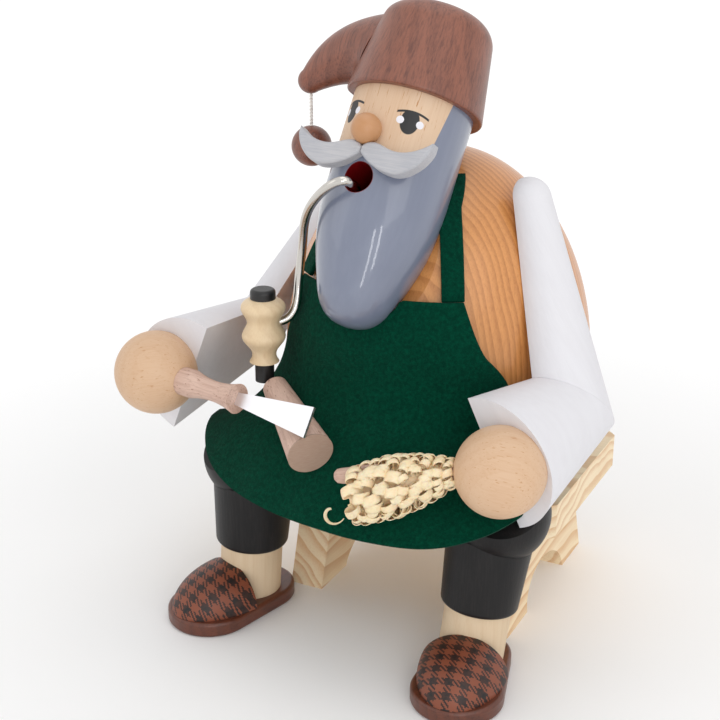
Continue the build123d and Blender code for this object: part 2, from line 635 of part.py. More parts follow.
# Long pipe
def make_pipe():
    lip = SMOKE_RADIUS - STEM_RADIUS - GLUE_LINE
    lip_side = -lip * sin(radians(STEM_MOUTH_TURN))
    lip_rise = -lip * cos(radians(STEM_MOUTH_TURN))
    bowl_place = Vector(-BOWL_SIDE, -BOWL_FORWARD, BOWL_FOOT)
    waist = bowl_place + Vector(0, 0, BOWL_WAIST * BOWL_HEIGHT)
    bowl_top = bowl_place + Vector(0, 0, BOWL_HEIGHT)
    route = [
        HEAD.from_local_coords(Vector(lip_side, STEM_LIP - HEAD_RADIUS, lip_rise)),
        HEAD.from_local_coords(Vector(lip_side, -STEM_LIP - HEAD_RADIUS, lip_rise)),
        HEAD.from_local_coords(Vector(*STEM_CHEEK)),
        HEAD.from_local_coords(Vector(*STEM_BEARD)),
        Vector(*STEM_BELLY),
        Vector(*STEM_TURN),
        waist,
    ]
    path = Spline(*route)
    start = Plane(origin=path @ 0, z_dir=path % 0)
    stem = sweep(start * Circle(STEM_RADIUS), path)
    stem_room = STEM_RADIUS + STEM_FIT
    stem_hole = sweep(start * Circle(stem_room), path) + Pos(*waist) * Sphere(stem_room)
    side = [
        (BOWL_FOOT_RADIUS, 0),
        (BOWL_NECK_RADIUS, BOWL_NECK * BOWL_HEIGHT),
        (BOWL_BULGE_RADIUS, BOWL_LOW_BULGE * BOWL_HEIGHT),
        (BOWL_WAIST_RADIUS, BOWL_WAIST * BOWL_HEIGHT),
        (BOWL_BULGE_RADIUS, BOWL_HIGH_BULGE * BOWL_HEIGHT),
        (LID_RADIUS, BOWL_HEIGHT),
    ]
    bowl = Pos(*bowl_place) * turned_spline(*side) - stem_hole
    rise = Vector(0, 0, 1)
    lid_peg, lid_hole = pegged(bowl_top, rise, LID_PEG_LENGTH, LID_PEG_ROOT, LID_PEG_RADIUS)
    ferrule_peg, ferrule_hole = pegged(bowl_place, rise, LID_PEG_ROOT, LID_PEG_LENGTH, LID_PEG_RADIUS)
    lid = Pos(*bowl_top) * Cylinder(LID_RADIUS, LID_HEIGHT, align=BASE)
    lid = fillet(lid.edges().sort_by(Axis.Z)[-1], LID_ROUND) + lid_peg
    ferrule = rod(bowl_place - Vector(0, 0, FERRULE_LENGTH), bowl_place, FERRULE_RADIUS)
    pieces["pipe_stem"] = stem
    pieces["pipe_bowl"] = bowl - lid_hole - ferrule_hole
    pieces["pipe_lid"] = lid
    pieces["pipe_ferrule"] = ferrule + ferrule_peg


# Chisel in the right hand
def make_chisel(hand_centre):
    clear = Vector(CHISEL_PAST_BLANK, -CHISEL_BEFORE_BLANK, BLANK_WIDE_RADIUS + CHISEL_OVER_BLANK)
    way = (Vector(*BLANK_LOW) + clear - hand_centre).normalized()
    flat = Vector(0, -cos(radians(BLADE_TWIST)), sin(radians(BLADE_TWIST)))
    tool = Plane(origin=hand_centre, x_dir=flat, z_dir=way)
    start = HAND_RADIUS - HANDLE_SOCKET
    shoulder = start + HANDLE_LENGTH
    grip = start + HANDLE_GRIP_LENGTH
    handle = rod((0, 0, start), (0, 0, grip), HANDLE_GRIP_RADIUS)
    handle += turned_spline(
        (HANDLE_GRIP_RADIUS, grip),
        (HANDLE_WAIST_RADIUS, grip + HANDLE_WAIST_PLACE * (shoulder - grip)),
        (HANDLE_END_RADIUS, shoulder),
    )
    root = BLADE_ROOT_WIDTH / 2
    edge = BLADE_EDGE_WIDTH / 2
    tip = shoulder + BLADE_LENGTH
    outline = Polyline(
        (-root, shoulder - BLADE_TANG),
        (root, shoulder - BLADE_TANG),
        (root, shoulder),
        (edge, tip),
        (-edge, tip),
        (-root, shoulder),
        close=True,
    )
    blade = extrude(Plane.XZ * make_face(outline), BLADE_THICKNESS / 2, both=True)
    slot = Box(BLADE_ROOT_WIDTH + 2 * DOWEL_FIT, BLADE_THICKNESS + 2 * DOWEL_FIT, BLADE_TANG + DOWEL_END_ROOM)
    slot = Pos(0, 0, shoulder - (BLADE_TANG + DOWEL_END_ROOM) / 2) * slot
    socket = rod((0, 0, start - DOWEL_END_ROOM), (0, 0, grip), HANDLE_GRIP_RADIUS + DOWEL_FIT)
    pieces["chisel_handle"] = tool * (handle - slot)
    pieces["chisel_blade"] = tool * blade
    pieces["hand_right"] -= tool * socket


# Felt apron and straps
def skirt_place(along):
    """A point on the middle line of the apron's outer face, from 0 at the bib's top to 1 at the hem."""
    heights = [BIB_TOP_HEIGHT, (BIB_TOP_HEIGHT + BIB_FOOT_HEIGHT) / 2, BIB_FOOT_HEIGHT]
    bib = [(0, -torso_radius(height) - FELT_GAP - FELT, height) for height in heights]
    lap = [(0, -forward, height) for forward, height in SKIRT_LINE]
    line = Spline(*bib, *lap)
    return Plane(origin=line @ along, x_dir=(1, 0, 0), z_dir=line % along)


def felt_section(along, right, left, curve):
    """A cut across the felt: two arcs and two straight ends."""
    right_drop = curve - sqrt(curve ** 2 - right ** 2)
    left_drop = curve - sqrt(curve ** 2 - left ** 2)
    outer = ThreePointArc((-right, -right_drop), (0, 0), (left, -left_drop))
    inner = ThreePointArc((left, -left_drop - FELT), (0, -FELT), (-right, -right_drop - FELT))
    ends = [Line(outer @ 1, inner @ 0), Line(inner @ 1, outer @ 0)]
    return skirt_place(along) * make_face(outer + inner + ends)


def strap_section(latitude):
    """A level cut across a strap that runs up the torso, at a latitude of the egg."""
    inner_radius = TORSO_RADIUS * cos(latitude) + FELT_GAP
    outer_radius = inner_radius + FELT
    turn = radians(STRAP_TURN)
    half = STRAP_WIDTH / 2 / outer_radius
    ways = [(sin(angle), -cos(angle)) for angle in (turn - half, turn, turn + half)]
    outer = ThreePointArc(*[(x * outer_radius, y * outer_radius) for x, y in ways])
    inner = ThreePointArc(*[(x * inner_radius, y * inner_radius) for x, y in ways])
    ends = [Line(outer @ 0, inner @ 0), Line(outer @ 1, inner @ 1)]
    height = TORSO_CENTRE + TORSO_HALF_HEIGHT * sin(latitude)
    return Plane.XY.offset(height) * make_face(outer + inner + ends)


def make_apron(left_room, right_room):
    felt = loft([felt_section(*cut) for cut in APRON_CUTS])
    hem = Pos(SKIRT_SHIFT, -HEM_CENTRE) * Ellipse(SKIRT_HALF, HEM_FORWARD - HEM_CENTRE)
    behind = Rectangle(2 * SKIRT_HALF, HEM_CENTRE, align=(Align.CENTER, Align.MIN))
    back = Pos(SKIRT_SHIFT, -HEM_CENTRE) * behind
    cut_felt = felt & extrude(hem + back, BIB_TOP_HEIGHT + FELT)
    pieces["apron"] = cut_felt - left_room - right_room - HEAD * head_outline(CAP_ROOM)

    low = asin((BIB_TOP_HEIGHT + GLUE_LINE - TORSO_CENTRE) / TORSO_HALF_HEIGHT)
    high = radians(STRAP_TOP_LATITUDE)
    steps = range(STRAP_STEPS + 1)
    strap = loft([strap_section(low + (high - low) * (step / STRAP_STEPS)) for step in steps])
    head_room = Cylinder(HEAD_RADIUS + CAP_ROOM, HEAD_TOP + BEARD_LENGTH, align=BASE)
    strap -= HEAD * (Pos(0, 0, -BEARD_LENGTH) * head_room)
    pieces["apron_straps"] = Compound(children=[strap, mirrored(strap)])


# Work on the lap
def make_lap_work(left_hand):
    blank_low = Vector(*BLANK_LOW)
    blank_high = Vector(*BLANK_HIGH)
    pieces["blank"] = taper(blank_high, blank_low, BLANK_THIN_RADIUS, BLANK_WIDE_RADIUS)
    nib = Vector(*TREE_NIB)
    way = (left_hand - nib).normalized()
    reach = (left_hand - nib).length - HAND_RADIUS
    body_length = reach - CHIP_NIB_LENGTH
    tier = body_length / CHIP_TREE_TIERS
    outline = [(CHIP_TRUNK_RADIUS, CHIP_NIB_LENGTH)]
    for count in range(CHIP_TREE_TIERS):
        share = (count + 0.5) / CHIP_TREE_TIERS
        swell = CHIP_TREE_RADIUS * sin(pi * (CHIP_SWELL_START + CHIP_SWELL_SPAN * share))
        outline.append((swell, CHIP_NIB_LENGTH + tier * (count + 0.5)))
        outline.append((swell - CHIP_TIER_DEPTH, CHIP_NIB_LENGTH + tier * (count + 1)))
    tree = Plane(origin=nib, z_dir=way) * turned_spline(*outline)
    tree -= Pos(*left_hand) * Sphere(HAND_RADIUS + GLUE_LINE)
    trunk_end = nib + way * (reach + CHIP_TRUNK_SOCKET)
    pieces["chip_tree"] = tree + rod(nib, trunk_end, CHIP_TRUNK_RADIUS)
    hole_end = trunk_end + way * DOWEL_END_ROOM
    pieces["hand_left"] -= rod(nib, hole_end, CHIP_TRUNK_RADIUS + DOWEL_FIT)


make_stool()
make_hip()
make_legs()
make_torso_and_head()
make_cap()
left_dowels, left_room, left_hand = make_arm(
    "left", LEFT_ARM, LEFT_ARM_SWING, LEFT_ELBOW_BEND, LEFT_FOREARM_LENGTH
)
right_dowels, right_room, right_hand = make_arm(
    "right", RIGHT_ARM, RIGHT_ARM_SWING, RIGHT_ELBOW_BEND, RIGHT_FOREARM_LENGTH
)
for index, name in enumerate(["shoulder_dowels", "elbow_dowels", "wrist_dowels"]):
    pieces[name] = Compound(children=[left_dowels[index], right_dowels[index]])
make_pipe()
make_chisel(right_hand)
make_apron(left_room, right_room)
make_lap_work(left_hand)

# The origin is under the middle of the whole figure, on the floor
boxes = [shape.bounding_box() for shape in pieces.values()]
middle_x = (min(box.min.X for box in boxes) + max(box.max.X for box in boxes)) / 2
middle_y = (min(box.min.Y for box in boxes) + max(box.max.Y for box in boxes)) / 2
stand = Pos(-middle_x, -middle_y, 0)
print("moved to the middle by", round(-middle_x, 3), round(-middle_y, 3))

os.makedirs("parts", exist_ok=True)
for name, shape in pieces.items():
    solids = [stand * solid for solid in shape.solids()]
    export_step(Compound(children=solids), "parts/" + name + ".step")
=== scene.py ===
import math
from typing import NamedTuple

import bpy
import numpy as np
from bpy.props import FloatProperty, FloatVectorProperty, IntProperty, PointerProperty
from mathutils import Matrix, Vector


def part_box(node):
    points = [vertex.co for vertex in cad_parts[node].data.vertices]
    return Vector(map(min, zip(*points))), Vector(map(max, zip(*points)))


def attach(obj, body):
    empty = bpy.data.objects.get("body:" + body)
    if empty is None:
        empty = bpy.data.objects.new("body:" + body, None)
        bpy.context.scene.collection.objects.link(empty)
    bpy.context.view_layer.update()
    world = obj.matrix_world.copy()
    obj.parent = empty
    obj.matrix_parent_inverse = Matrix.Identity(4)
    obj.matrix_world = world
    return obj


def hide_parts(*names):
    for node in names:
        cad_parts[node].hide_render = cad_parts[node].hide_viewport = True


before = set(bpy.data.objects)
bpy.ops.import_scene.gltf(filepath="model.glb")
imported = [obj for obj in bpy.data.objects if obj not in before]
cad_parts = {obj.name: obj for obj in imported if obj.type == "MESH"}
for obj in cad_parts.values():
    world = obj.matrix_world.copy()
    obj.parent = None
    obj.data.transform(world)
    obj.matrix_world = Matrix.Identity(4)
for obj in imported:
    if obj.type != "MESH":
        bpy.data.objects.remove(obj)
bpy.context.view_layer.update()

bl_info = {
    "name": "Seated carver smoker",
    "version": (1, 0, 0),
    "blender": (4, 5, 0),
    "location": "3D View > Sidebar > Carver",
    "description": "Dresses the turned wooden carver on a stool: stains, paint, felt apron and shaved chips",
    "category": "Object",
}

MM = 0.001
HIP_LOW, HIP_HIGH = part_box("hip_block")
AXIS = (HIP_LOW + HIP_HIGH) / 2

# The head's own frame, which the face paint and the cap follow
HEAD_LEAN = 32.0
HEAD_FORWARD = 27.3
HEAD_HEIGHT = 116.7
HEAD_RADIUS = 15.5
HEAD_FLAT = 6.0

# The torso's egg, which the bib and the straps lie on
TORSO_RADIUS = 42.0
TORSO_HALF_HEIGHT = 59.0
TORSO_CENTRE = 66.0


def at(x, y, z):
    """A point in millimetres from the torso's axis on the floor, as a place in the model."""
    return Vector((AXIS.x + x * MM, AXIS.y + y * MM, z * MM))


def display(red, green, blue):
    """A colour as a display shows it, 0 to 255, turned to the light that a shader works in."""
    shares = [value / 255 for value in (red, green, blue)]
    return tuple(share / 12.92 if share < 0.04045 else ((share + 0.055) / 1.055) ** 2.4 for share in shares)


def tint(label, words, red, green, blue):
    """A colour property with its default given as display values."""
    return FloatVectorProperty(
        name=label, description=words, default=display(red, green, blue),
        subtype="COLOR", size=3, min=0, max=1,
    )


def length(label, words, millimetres):
    """A length property in metres with its default given in millimetres."""
    return FloatProperty(
        name=label, description=words, default=millimetres * MM, subtype="DISTANCE", unit="LENGTH"
    )


def bearing(label, words, degrees):
    """An angle property with its default given in degrees."""
    return FloatProperty(name=label, description=words, default=math.radians(degrees), subtype="ANGLE")


def power(label, words, watts):
    """A lamp's power property."""
    return FloatProperty(name=label, description=words, default=watts, unit="POWER")


def turned(x, y, z):
    """A turn about the three axes, given in degrees."""
    return math.radians(x), math.radians(y), math.radians(z)


HEAD_ORIGIN = at(0, -HEAD_FORWARD, HEAD_HEIGHT)
HEAD_TURN = turned(-HEAD_LEAN, 0, 0)


class CarverColours(bpy.types.PropertyGroup):
    """Stains, paints and bare woods of the figure."""

    cap: tint("Cap stain", "Brown stain on the cap and its bobble", 142, 86, 66)
    cap_dark: tint("Cap streaks", "Darker pores in the stained cap", 88, 48, 38)
    torso: tint("Torso early wood", "Light rings of the lacquered torso", 216, 149, 85)
    torso_dark: tint("Torso late wood", "Dark rings of the lacquered torso", 163, 94, 40)
    beech: tint("Beech", "Bare beech of the hands", 216, 181, 148)
    face: tint("Face", "Bare beech of the face", 222, 192, 162)
    nose: tint("Nose", "Darker beech of the nose", 194, 142, 98)
    beech_dark: tint("Beech fleck", "Ray flecks in the bare beech", 186, 126, 72)
    beard: tint("Beard", "Gloss paint on the beard", 116, 123, 143)
    beard_light: tint("Beard strokes", "Thin paint on the beard", 128, 135, 154)
    moustache: tint("Moustache", "Brushed paint on the moustache", 192, 191, 194)
    moustache_dark: tint("Moustache strokes", "Shaded strokes of the moustache", 168, 170, 178)
    mouth: tint("Mouth", "Red paint in the mouth's bore", 122, 10, 14)
    eye: tint("Eye", "Painted eyes and lids", 26, 25, 28)
    eye_white: tint("Eye light", "Dots beside the painted eyes", 236, 234, 240)
    sleeve: tint("Sleeve", "Matte white paint on the arms", 228, 227, 231)
    sleeve_shade: tint("Sleeve shade", "Thin places in the white paint", 220, 218, 222)
    trouser: tint("Trousers", "Black stain on the legs", 18, 17, 18)
    trouser_grain: tint("Trouser grain", "Wood that shows through the black stain", 36, 33, 33)
    pale_wood: tint("Pale wood", "Bare wood of the shins", 224, 200, 168)
    bowl: tint("Pipe bowl", "Bare turned wood of the pipe bowl", 233, 209, 172)
    pale_dark: tint("Pale wood grain", "Grain of the bare turned wood", 196, 156, 104)
    slipper: tint("Slipper", "Brown of the slippers", 132, 70, 46)
    slipper_sole: tint("Slipper sole", "Stain on the soles", 104, 52, 32)
    slipper_dark: tint("Slipper check", "Dark threads of the check", 20, 15, 14)
    pine: tint("Pine", "Early wood of the stool", 249, 229, 195)
    pine_dark: tint("Pine ring", "Late wood of the stool", 216, 166, 112)
    felt: tint("Felt", "Green of the apron", 0, 48, 35)
    felt_light: tint("Felt fibre", "Loose fibres on the apron", 2, 92, 66)
    pink_beech: tint("Steamed beech", "Wood of the chisel handle and the blank", 218, 187, 170)
    pink_dark: tint("Steamed beech fleck", "Pores in the steamed beech", 152, 106, 88)
    end_grain: tint("End grain", "Sawn end of the blank", 178, 152, 134)
    blade: tint("Blade", "Bright metal of the chisel", 232, 232, 236)
    stem: tint("Stem", "Drawn wire of the pipe", 204, 200, 194)
    fitting: tint("Pipe fittings", "Black lid and ferrule", 24, 23, 24)
    chip: tint("Chips", "Shaved curls of the little tree", 251, 229, 193)
    chip_dark: tint("Chip shade", "Grain of the shaved curls", 238, 200, 148)
    thread: tint("Thread", "Bobble's thread", 246, 244, 240)
    tray: tint("Tray", "Pressed metal of the incense tray", 196, 166, 102)
    tack: tint("Tack", "Steel of the tray's tack", 160, 160, 162)


class CarverSizes(bpy.types.PropertyGroup):
    """Sizes of the soft and shaved pieces and of the patterns."""

    felt_thickness: length("Felt thickness", "Thickness of the apron and its straps", 1.2)
    felt_wave: length("Felt wave", "Height of the soft waves along the apron's hem", 0.5)
    check_thread: length("Check thread", "Width of one thread in the slippers' check", 0.33)
    torso_ring: length("Torso ring", "Distance between the torso's rings", 1.9)
    pine_ring: length("Pine ring", "Distance between the stool's rings", 3.4)
    chip_width: length("Chip width", "Width of one shaved curl", 2.3)
    chip_thickness: length("Chip thickness", "Thickness of one shaved curl", 0.12)
    chip_curl: length("Chip curl", "Radius of one shaved curl", 1.65)
    chips_round: IntProperty(name="Chips round", description="Curls in one tier of the tree", default=18)
    chip_tiers: IntProperty(name="Chip tiers", description="Tiers of curls along the tree", default=10)
    thread_radius: length("Thread radius", "Radius of one ply of the bobble's thread", 0.3)


class CarverStage(bpy.types.PropertyGroup):
    """Camera, lamps and floor."""

    lens: FloatProperty(name="Lens", description="Focal length", subtype="DISTANCE_CAMERA", default=69.35)
    camera_turn: bearing("Camera turn", "View round the figure", 33.2)
    camera_dip: bearing("Camera dip", "View down on the figure", 21.3)
    key_power: power("Key light", "Large soft lamp", 0.6)
    fill_power: power("Fill light", "Soft lamp on the other side", 0.26)
    top_power: power("Top light", "Soft lamp from above", 0.8)
    strip_power: power("Strip lights", "Narrow upright lamps", 0.22)
    room_light: FloatProperty(name="Room light", description="Even light from all round", default=0.8)
    floor: tint("Floor", "Pale floor under the figure", 253, 253, 253)


# Node helpers
class Net:
    """Adds nodes to a tree: an input takes a number, a colour or another node's output."""

    def __init__(self, tree):
        self.tree = tree

    def add(self, kind, values=None, out=0, **settings):
        made = self.tree.nodes.new(kind)
        for name, value in settings.items():
            setattr(made, name, value)
        for key, value in (values or {}).items():
            self.feed(made.inputs[key], value)
        return made.outputs[out]

    def feed(self, socket, value):
        if isinstance(value, bpy.types.NodeSocket):
            self.tree.links.new(value, socket)
        elif socket.type == "RGBA" and len(value) == 3:
            socket.default_value = (*value, 1)
        else:
            socket.default_value = value

    def math(self, operation, first, second=0.0, third=0.0):
        return self.add("ShaderNodeMath", {0: first, 1: second, 2: third}, operation=operation)

    def mix(self, share, first, second):
        return self.add("ShaderNodeMix", {0: share, 6: first, 7: second}, out=2, data_type="RGBA")

    def ramp(self, value, low, high, start=0.0, end=1.0):
        values = {"Value": value, "From Min": low, "From Max": high, "To Min": start, "To Max": end}
        return self.add("ShaderNodeMapRange", values, interpolation_type="SMOOTHSTEP")

    def noise(self, vector, scale, detail=3.0, roughness=0.55):
        values = {"Vector": vector, "Scale": scale, "Detail": detail, "Roughness": roughness}
        return self.add("ShaderNodeTexNoise", values)

    def stretch(self, vector, scale):
        return self.add("ShaderNodeVectorMath", {0: vector, 1: scale}, operation="MULTIPLY")

    def parts(self, vector):
        made = self.tree.nodes.new("ShaderNodeSeparateXYZ")
        self.tree.links.new(vector, made.inputs[0])
        return tuple(made.outputs)

    def join(self, x, y, z):
        return self.add("ShaderNodeCombineXYZ", {0: x, 1: y, 2: z})

    def place(self, origin=(0, 0, 0), turn=(0, 0, 0)):
        """Object coordinates as millimetres in a frame with that origin and turn."""
        source = self.add("ShaderNodeTexCoord", out=3)
        values = {"Vector": source, "Location": origin, "Rotation": turn, "Scale": (MM, MM, MM)}
        return self.add("ShaderNodeMapping", values, vector_type="TEXTURE")

    def times(self, first, second):
        return self.math("MULTIPLY", first, second)

    def plus(self, first, second):
        return self.math("ADD", first, second)

    def minus(self, first, second):
        return self.math("SUBTRACT", first, second)

    def divide(self, first, second):
        return self.math("DIVIDE", first, second)

    def far(self, vector):
        """A vector's length."""
        return self.add("ShaderNodeVectorMath", {0: vector}, out=1, operation="LENGTH")

    def shift(self, vector, move):
        return self.add("ShaderNodeVectorMath", {0: vector, 1: move}, operation="ADD")

    def scale(self, vector, factor):
        return self.add("ShaderNodeVectorMath", {0: vector, "Scale": factor}, operation="SCALE")


COLOUR = "NodeSocketColor"
NUMBER = "NodeSocketFloat"
COUNT = "NodeSocketInt"
VECTOR = "NodeSocketVector"


def new_group(name, inputs):
    """An empty shader group that puts out a colour and a height; returns it, its net and its inputs."""
    tree = bpy.data.node_groups.new(name, "ShaderNodeTree")
    for label, kind in inputs.items():
        tree.interface.new_socket(label, in_out="INPUT", socket_type=kind)
    for label, kind in (("Color", COLOUR), ("Height", NUMBER)):
        tree.interface.new_socket(label, in_out="OUTPUT", socket_type=kind)
    return tree, Net(tree), tree.nodes.new("NodeGroupInput").outputs


def close_group(tree, colour, height):
    """Links a group's results to its outputs."""
    sink = tree.nodes.new("NodeGroupOutput").inputs
    tree.links.new(colour, sink["Color"])
    tree.links.new(height, sink["Height"])
    return tree


# Wood patterns: their scales across and along the grain, which runs along Z, for each millimetre
BEND_SCALE = (0.05, 0.05, 0.018)
PORE_SCALE = (2.1, 2.1, 0.07)
FIBRE_SCALE = (6.0, 6.0, 0.2)
FLECK_SCALE = (2.6, 2.6, 0.42)
CLOUD_SCALE = (0.06, 0.06, 0.03)
STRAY_SCALE = 0.11
# How far a ring leaves its circle and its even distance, counted in rings
RING_BEND = 3.2
RING_STRAY = 1.6
# Strength of the fibres and the clouds, and depth of the pores and the flecks
FIBRE_SHARE = 0.6
CLOUD_SHARE = 0.3
PORE_DEPTH = 0.6
FLECK_DEPTH = 0.5


def make_wood_group():
    """Rings about the grain, fine pores along it and short flecks, in millimetres."""
    tree, net, given = new_group("turned wood", {
        "Vector": VECTOR, "Light": COLOUR, "Dark": COLOUR, "Ring Spacing": NUMBER, "Ring": NUMBER,
        "Pores": NUMBER, "Flecks": NUMBER, "Fleck Size": NUMBER,
    })
    vector = given["Vector"]
    spacing = given["Ring Spacing"]
    x, y = net.parts(vector)[:2]
    bend = net.noise(net.stretch(vector, BEND_SCALE), 1.0, 2.0)
    bent = net.math("MULTIPLY_ADD", bend, net.times(spacing, RING_BEND), net.far(net.join(x, y, 0.0)))
    stray = net.noise(net.join(net.times(bent, STRAY_SCALE), 0.0, 0.0), 1.0, 1.0)
    share = net.math("FRACT", net.plus(net.divide(bent, spacing), net.times(stray, RING_STRAY)))
    late = net.times(net.ramp(share, 0.2, 0.9), net.ramp(share, 0.93, 1.0, 1.0, 0.0))
    ring = net.times(late, given["Ring"])
    pores = net.ramp(net.noise(net.stretch(vector, PORE_SCALE), 1.0, 4.0), 0.42, 0.72)
    fibre = net.ramp(net.noise(net.stretch(vector, FIBRE_SCALE), 1.0, 2.0), 0.4, 0.75)
    grain = net.times(net.plus(pores, net.times(fibre, FIBRE_SHARE)), given["Pores"])
    small = net.scale(net.stretch(vector, FLECK_SCALE), net.divide(1.0, given["Fleck Size"]))
    fleck = net.times(net.ramp(net.noise(small, 1.0, 1.0), 0.66, 0.73), given["Flecks"])
    cloud = net.noise(net.stretch(vector, CLOUD_SCALE), 1.0, 2.0)
    tone = net.plus(net.plus(ring, grain), net.math("MULTIPLY_ADD", cloud, CLOUD_SHARE, -CLOUD_SHARE / 2))
    tone = net.math("MINIMUM", net.math("MAXIMUM", tone, 0.0), 1.0)
    colour = net.mix(fleck, net.mix(tone, given["Light"], given["Dark"]), given["Dark"])
    dents = net.math("MULTIPLY_ADD", grain, PORE_DEPTH, net.times(fleck, FLECK_DEPTH))
    return close_group(tree, colour, net.minus(0.5, dents))


# Brushed paint: the scale of its strokes, which run along X, and their share beside the clouds
STROKE_SCALE = (0.06, 1.0, 1.0)
STROKE_SHARE = 0.55


def make_paint_group():
    """Brushed paint: long strokes with thin and thick places, in millimetres."""
    tree, net, given = new_group("brushed paint", {
        "Vector": VECTOR, "Paint": COLOUR, "Thin": COLOUR, "Strokes": NUMBER, "Stroke Width": NUMBER,
    })
    vector = given["Vector"]
    narrow = net.scale(vector, net.divide(1.0, given["Stroke Width"]))
    stroke = net.ramp(net.noise(net.stretch(narrow, STROKE_SCALE), 1.0, 3.0), 0.35, 0.7)
    cloud = net.ramp(net.noise(vector, 0.09, 2.0), 0.3, 0.75)
    streaks = net.math("MULTIPLY_ADD", cloud, 1 - STROKE_SHARE, net.times(stroke, STROKE_SHARE))
    share = net.times(streaks, given["Strokes"])
    return close_group(tree, net.mix(share, given["Paint"], given["Thin"]), stroke)


BUMP_DEPTH = 0.1 * MM
WOOD_BUMP = 0.35
METAL_SCALE = (3.0, 3.0, 0.1)


class Look(Net):
    """A new material and its net."""

    def __init__(self, name):
        self.material = bpy.data.materials.new(name)
        self.material.use_nodes = True
        super().__init__(self.material.node_tree)

    def finish(self, colour, height, bump, **values):
        """Feeds the shader a colour, a bump and its other values, and gives the material."""
        shader = self.tree.nodes["Principled BSDF"].inputs
        self.feed(shader["Base Color"], colour)
        raised = self.add("ShaderNodeBump", {"Height": height, "Strength": bump, "Distance": BUMP_DEPTH})
        self.feed(shader["Normal"], raised)
        for name, value in values.items():
            self.feed(shader[name.replace("_", " ")], value)
        return self.material


SHADER_GROUPS = {"turned wood": make_wood_group, "brushed paint": make_paint_group}


def placed_group(net, name, values):
    """Sets a shared shader group in a material; the group is made at its first use."""
    made = net.tree.nodes.new("ShaderNodeGroup")
    made.node_tree = bpy.data.node_groups.get(name) or SHADER_GROUPS[name]()
    for label, value in values.items():
        net.feed(made.inputs[label], value)
    return made.outputs["Color"], made.outputs["Height"]


class Wood(NamedTuple):
    """A wood's ring distance in millimetres, strength of rings, pores and flecks, and fleck size."""

    spacing: float
    ring: float
    pores: float
    flecks: float = 0.0
    size: float = 1.0


def wood_group(net, vector, light, dark, wood):
    return placed_group(net, "turned wood", {
        "Vector": vector, "Light": light, "Dark": dark, "Ring Spacing": wood.spacing, "Ring": wood.ring,
        "Pores": wood.pores, "Flecks": wood.flecks, "Fleck Size": wood.size,
    })


def paint_group(net, vector, paint, thin, strokes, width):
    return placed_group(net, "brushed paint", {
        "Vector": vector, "Paint": paint, "Thin": thin, "Strokes": strokes, "Stroke Width": width,
    })


def wood_material(name, light, dark, wood, origin, turn=(0, 0, 0), **fixed):
    net = Look(name)
    colour, height = wood_group(net, net.place(origin, turn), light, dark, wood)
    return net.finish(colour, height, WOOD_BUMP, **fixed)


def paint_material(name, paint, thin, origin, turn=(0, 0, 0), *, strokes, width, **fixed):
    net = Look(name)
    colour, height = paint_group(net, net.place(origin, turn), paint, thin, strokes, width)
    return net.finish(colour, height, bump=0.25, **fixed)


def metal_material(name, colour, roughness, grain=0.12):
    """Drawn metal, whose roughness rises by its grain."""
    net = Look(name)
    drawn = net.noise(net.stretch(net.place(), METAL_SCALE), 1.0, 3.0)
    rough = net.ramp(drawn, 0.2, 0.8, roughness, roughness + grain)
    return net.finish(colour, drawn, bump=0.05, Metallic=1.0, Roughness=rough)


def dress(material, *nodes):
    """Gives CAD nodes a finish."""
    for name in nodes:
        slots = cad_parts[name].data.materials
        slots.clear()
        slots.append(material)


def both(*names):
    return [name + side for name in names for side in ("_left", "_right")]


def node_middle(name):
    low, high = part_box(name)
    return (low + high) / 2


def smooth(obj):
    for polygon in obj.data.polygons:
        polygon.use_smooth = True


def new_piece(name, vertices, faces, material):
    mesh = bpy.data.meshes.new(name)
    mesh.from_pydata([tuple(vertex) for vertex in vertices], [], faces)
    mesh.update()
    mesh.materials.append(material)
    piece = bpy.data.objects.new(name, mesh)
    bpy.context.scene.collection.objects.link(piece)
    smooth(piece)
    return piece


def settle(piece):
    """Applies a piece's modifiers, so that its mesh is final."""
    depsgraph = bpy.context.evaluated_depsgraph_get()
    mesh = bpy.data.meshes.new_from_object(piece.evaluated_get(depsgraph))
    piece.modifiers.clear()
    old = piece.data
    piece.data = mesh
    bpy.data.meshes.remove(old)
    mesh.name = piece.name
    smooth(piece)


def hand_ball(side):
    """Centre and radius of a hand, whose ball is cut flat only at the wrist."""
    low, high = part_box("hand" + side)
    radius = (high.x - low.x) / 2
    return Vector(((low.x + high.x) / 2, low.y + radius, (low.z + high.z) / 2)), radius


def lathe(profile, sides):
    """Vertices and outward faces of a piece turned about Z, from its foot up; the ends lie on the axis."""
    vertices = [(0, 0, profile[0][1])]
    for radius, height in profile[1:-1]:
        for step in range(sides):
            angle = 2 * math.pi * step / sides
            vertices.append((radius * math.cos(angle), radius * math.sin(angle), height))
    vertices.append((0, 0, profile[-1][1]))
    top = len(vertices) - 1
    faces = []
    for step in range(sides):
        after = (step + 1) % sides
        faces.append((0, 1 + after, 1 + step))
        for ring in range(len(profile) - 3):
            low = 1 + ring * sides
            faces.append((low + step, low + after, low + sides + after, low + sides + step))
        last = 1 + (len(profile) - 3) * sides
        faces.append((last + step, last + after, top))
    return vertices, faces


def grid_faces(rows, columns):
    faces = []
    for row in range(rows - 1):
        for column in range(columns - 1):
            corner = row * columns + column
            faces.append((corner, corner + 1, corner + columns + 1, corner + columns))
    return faces


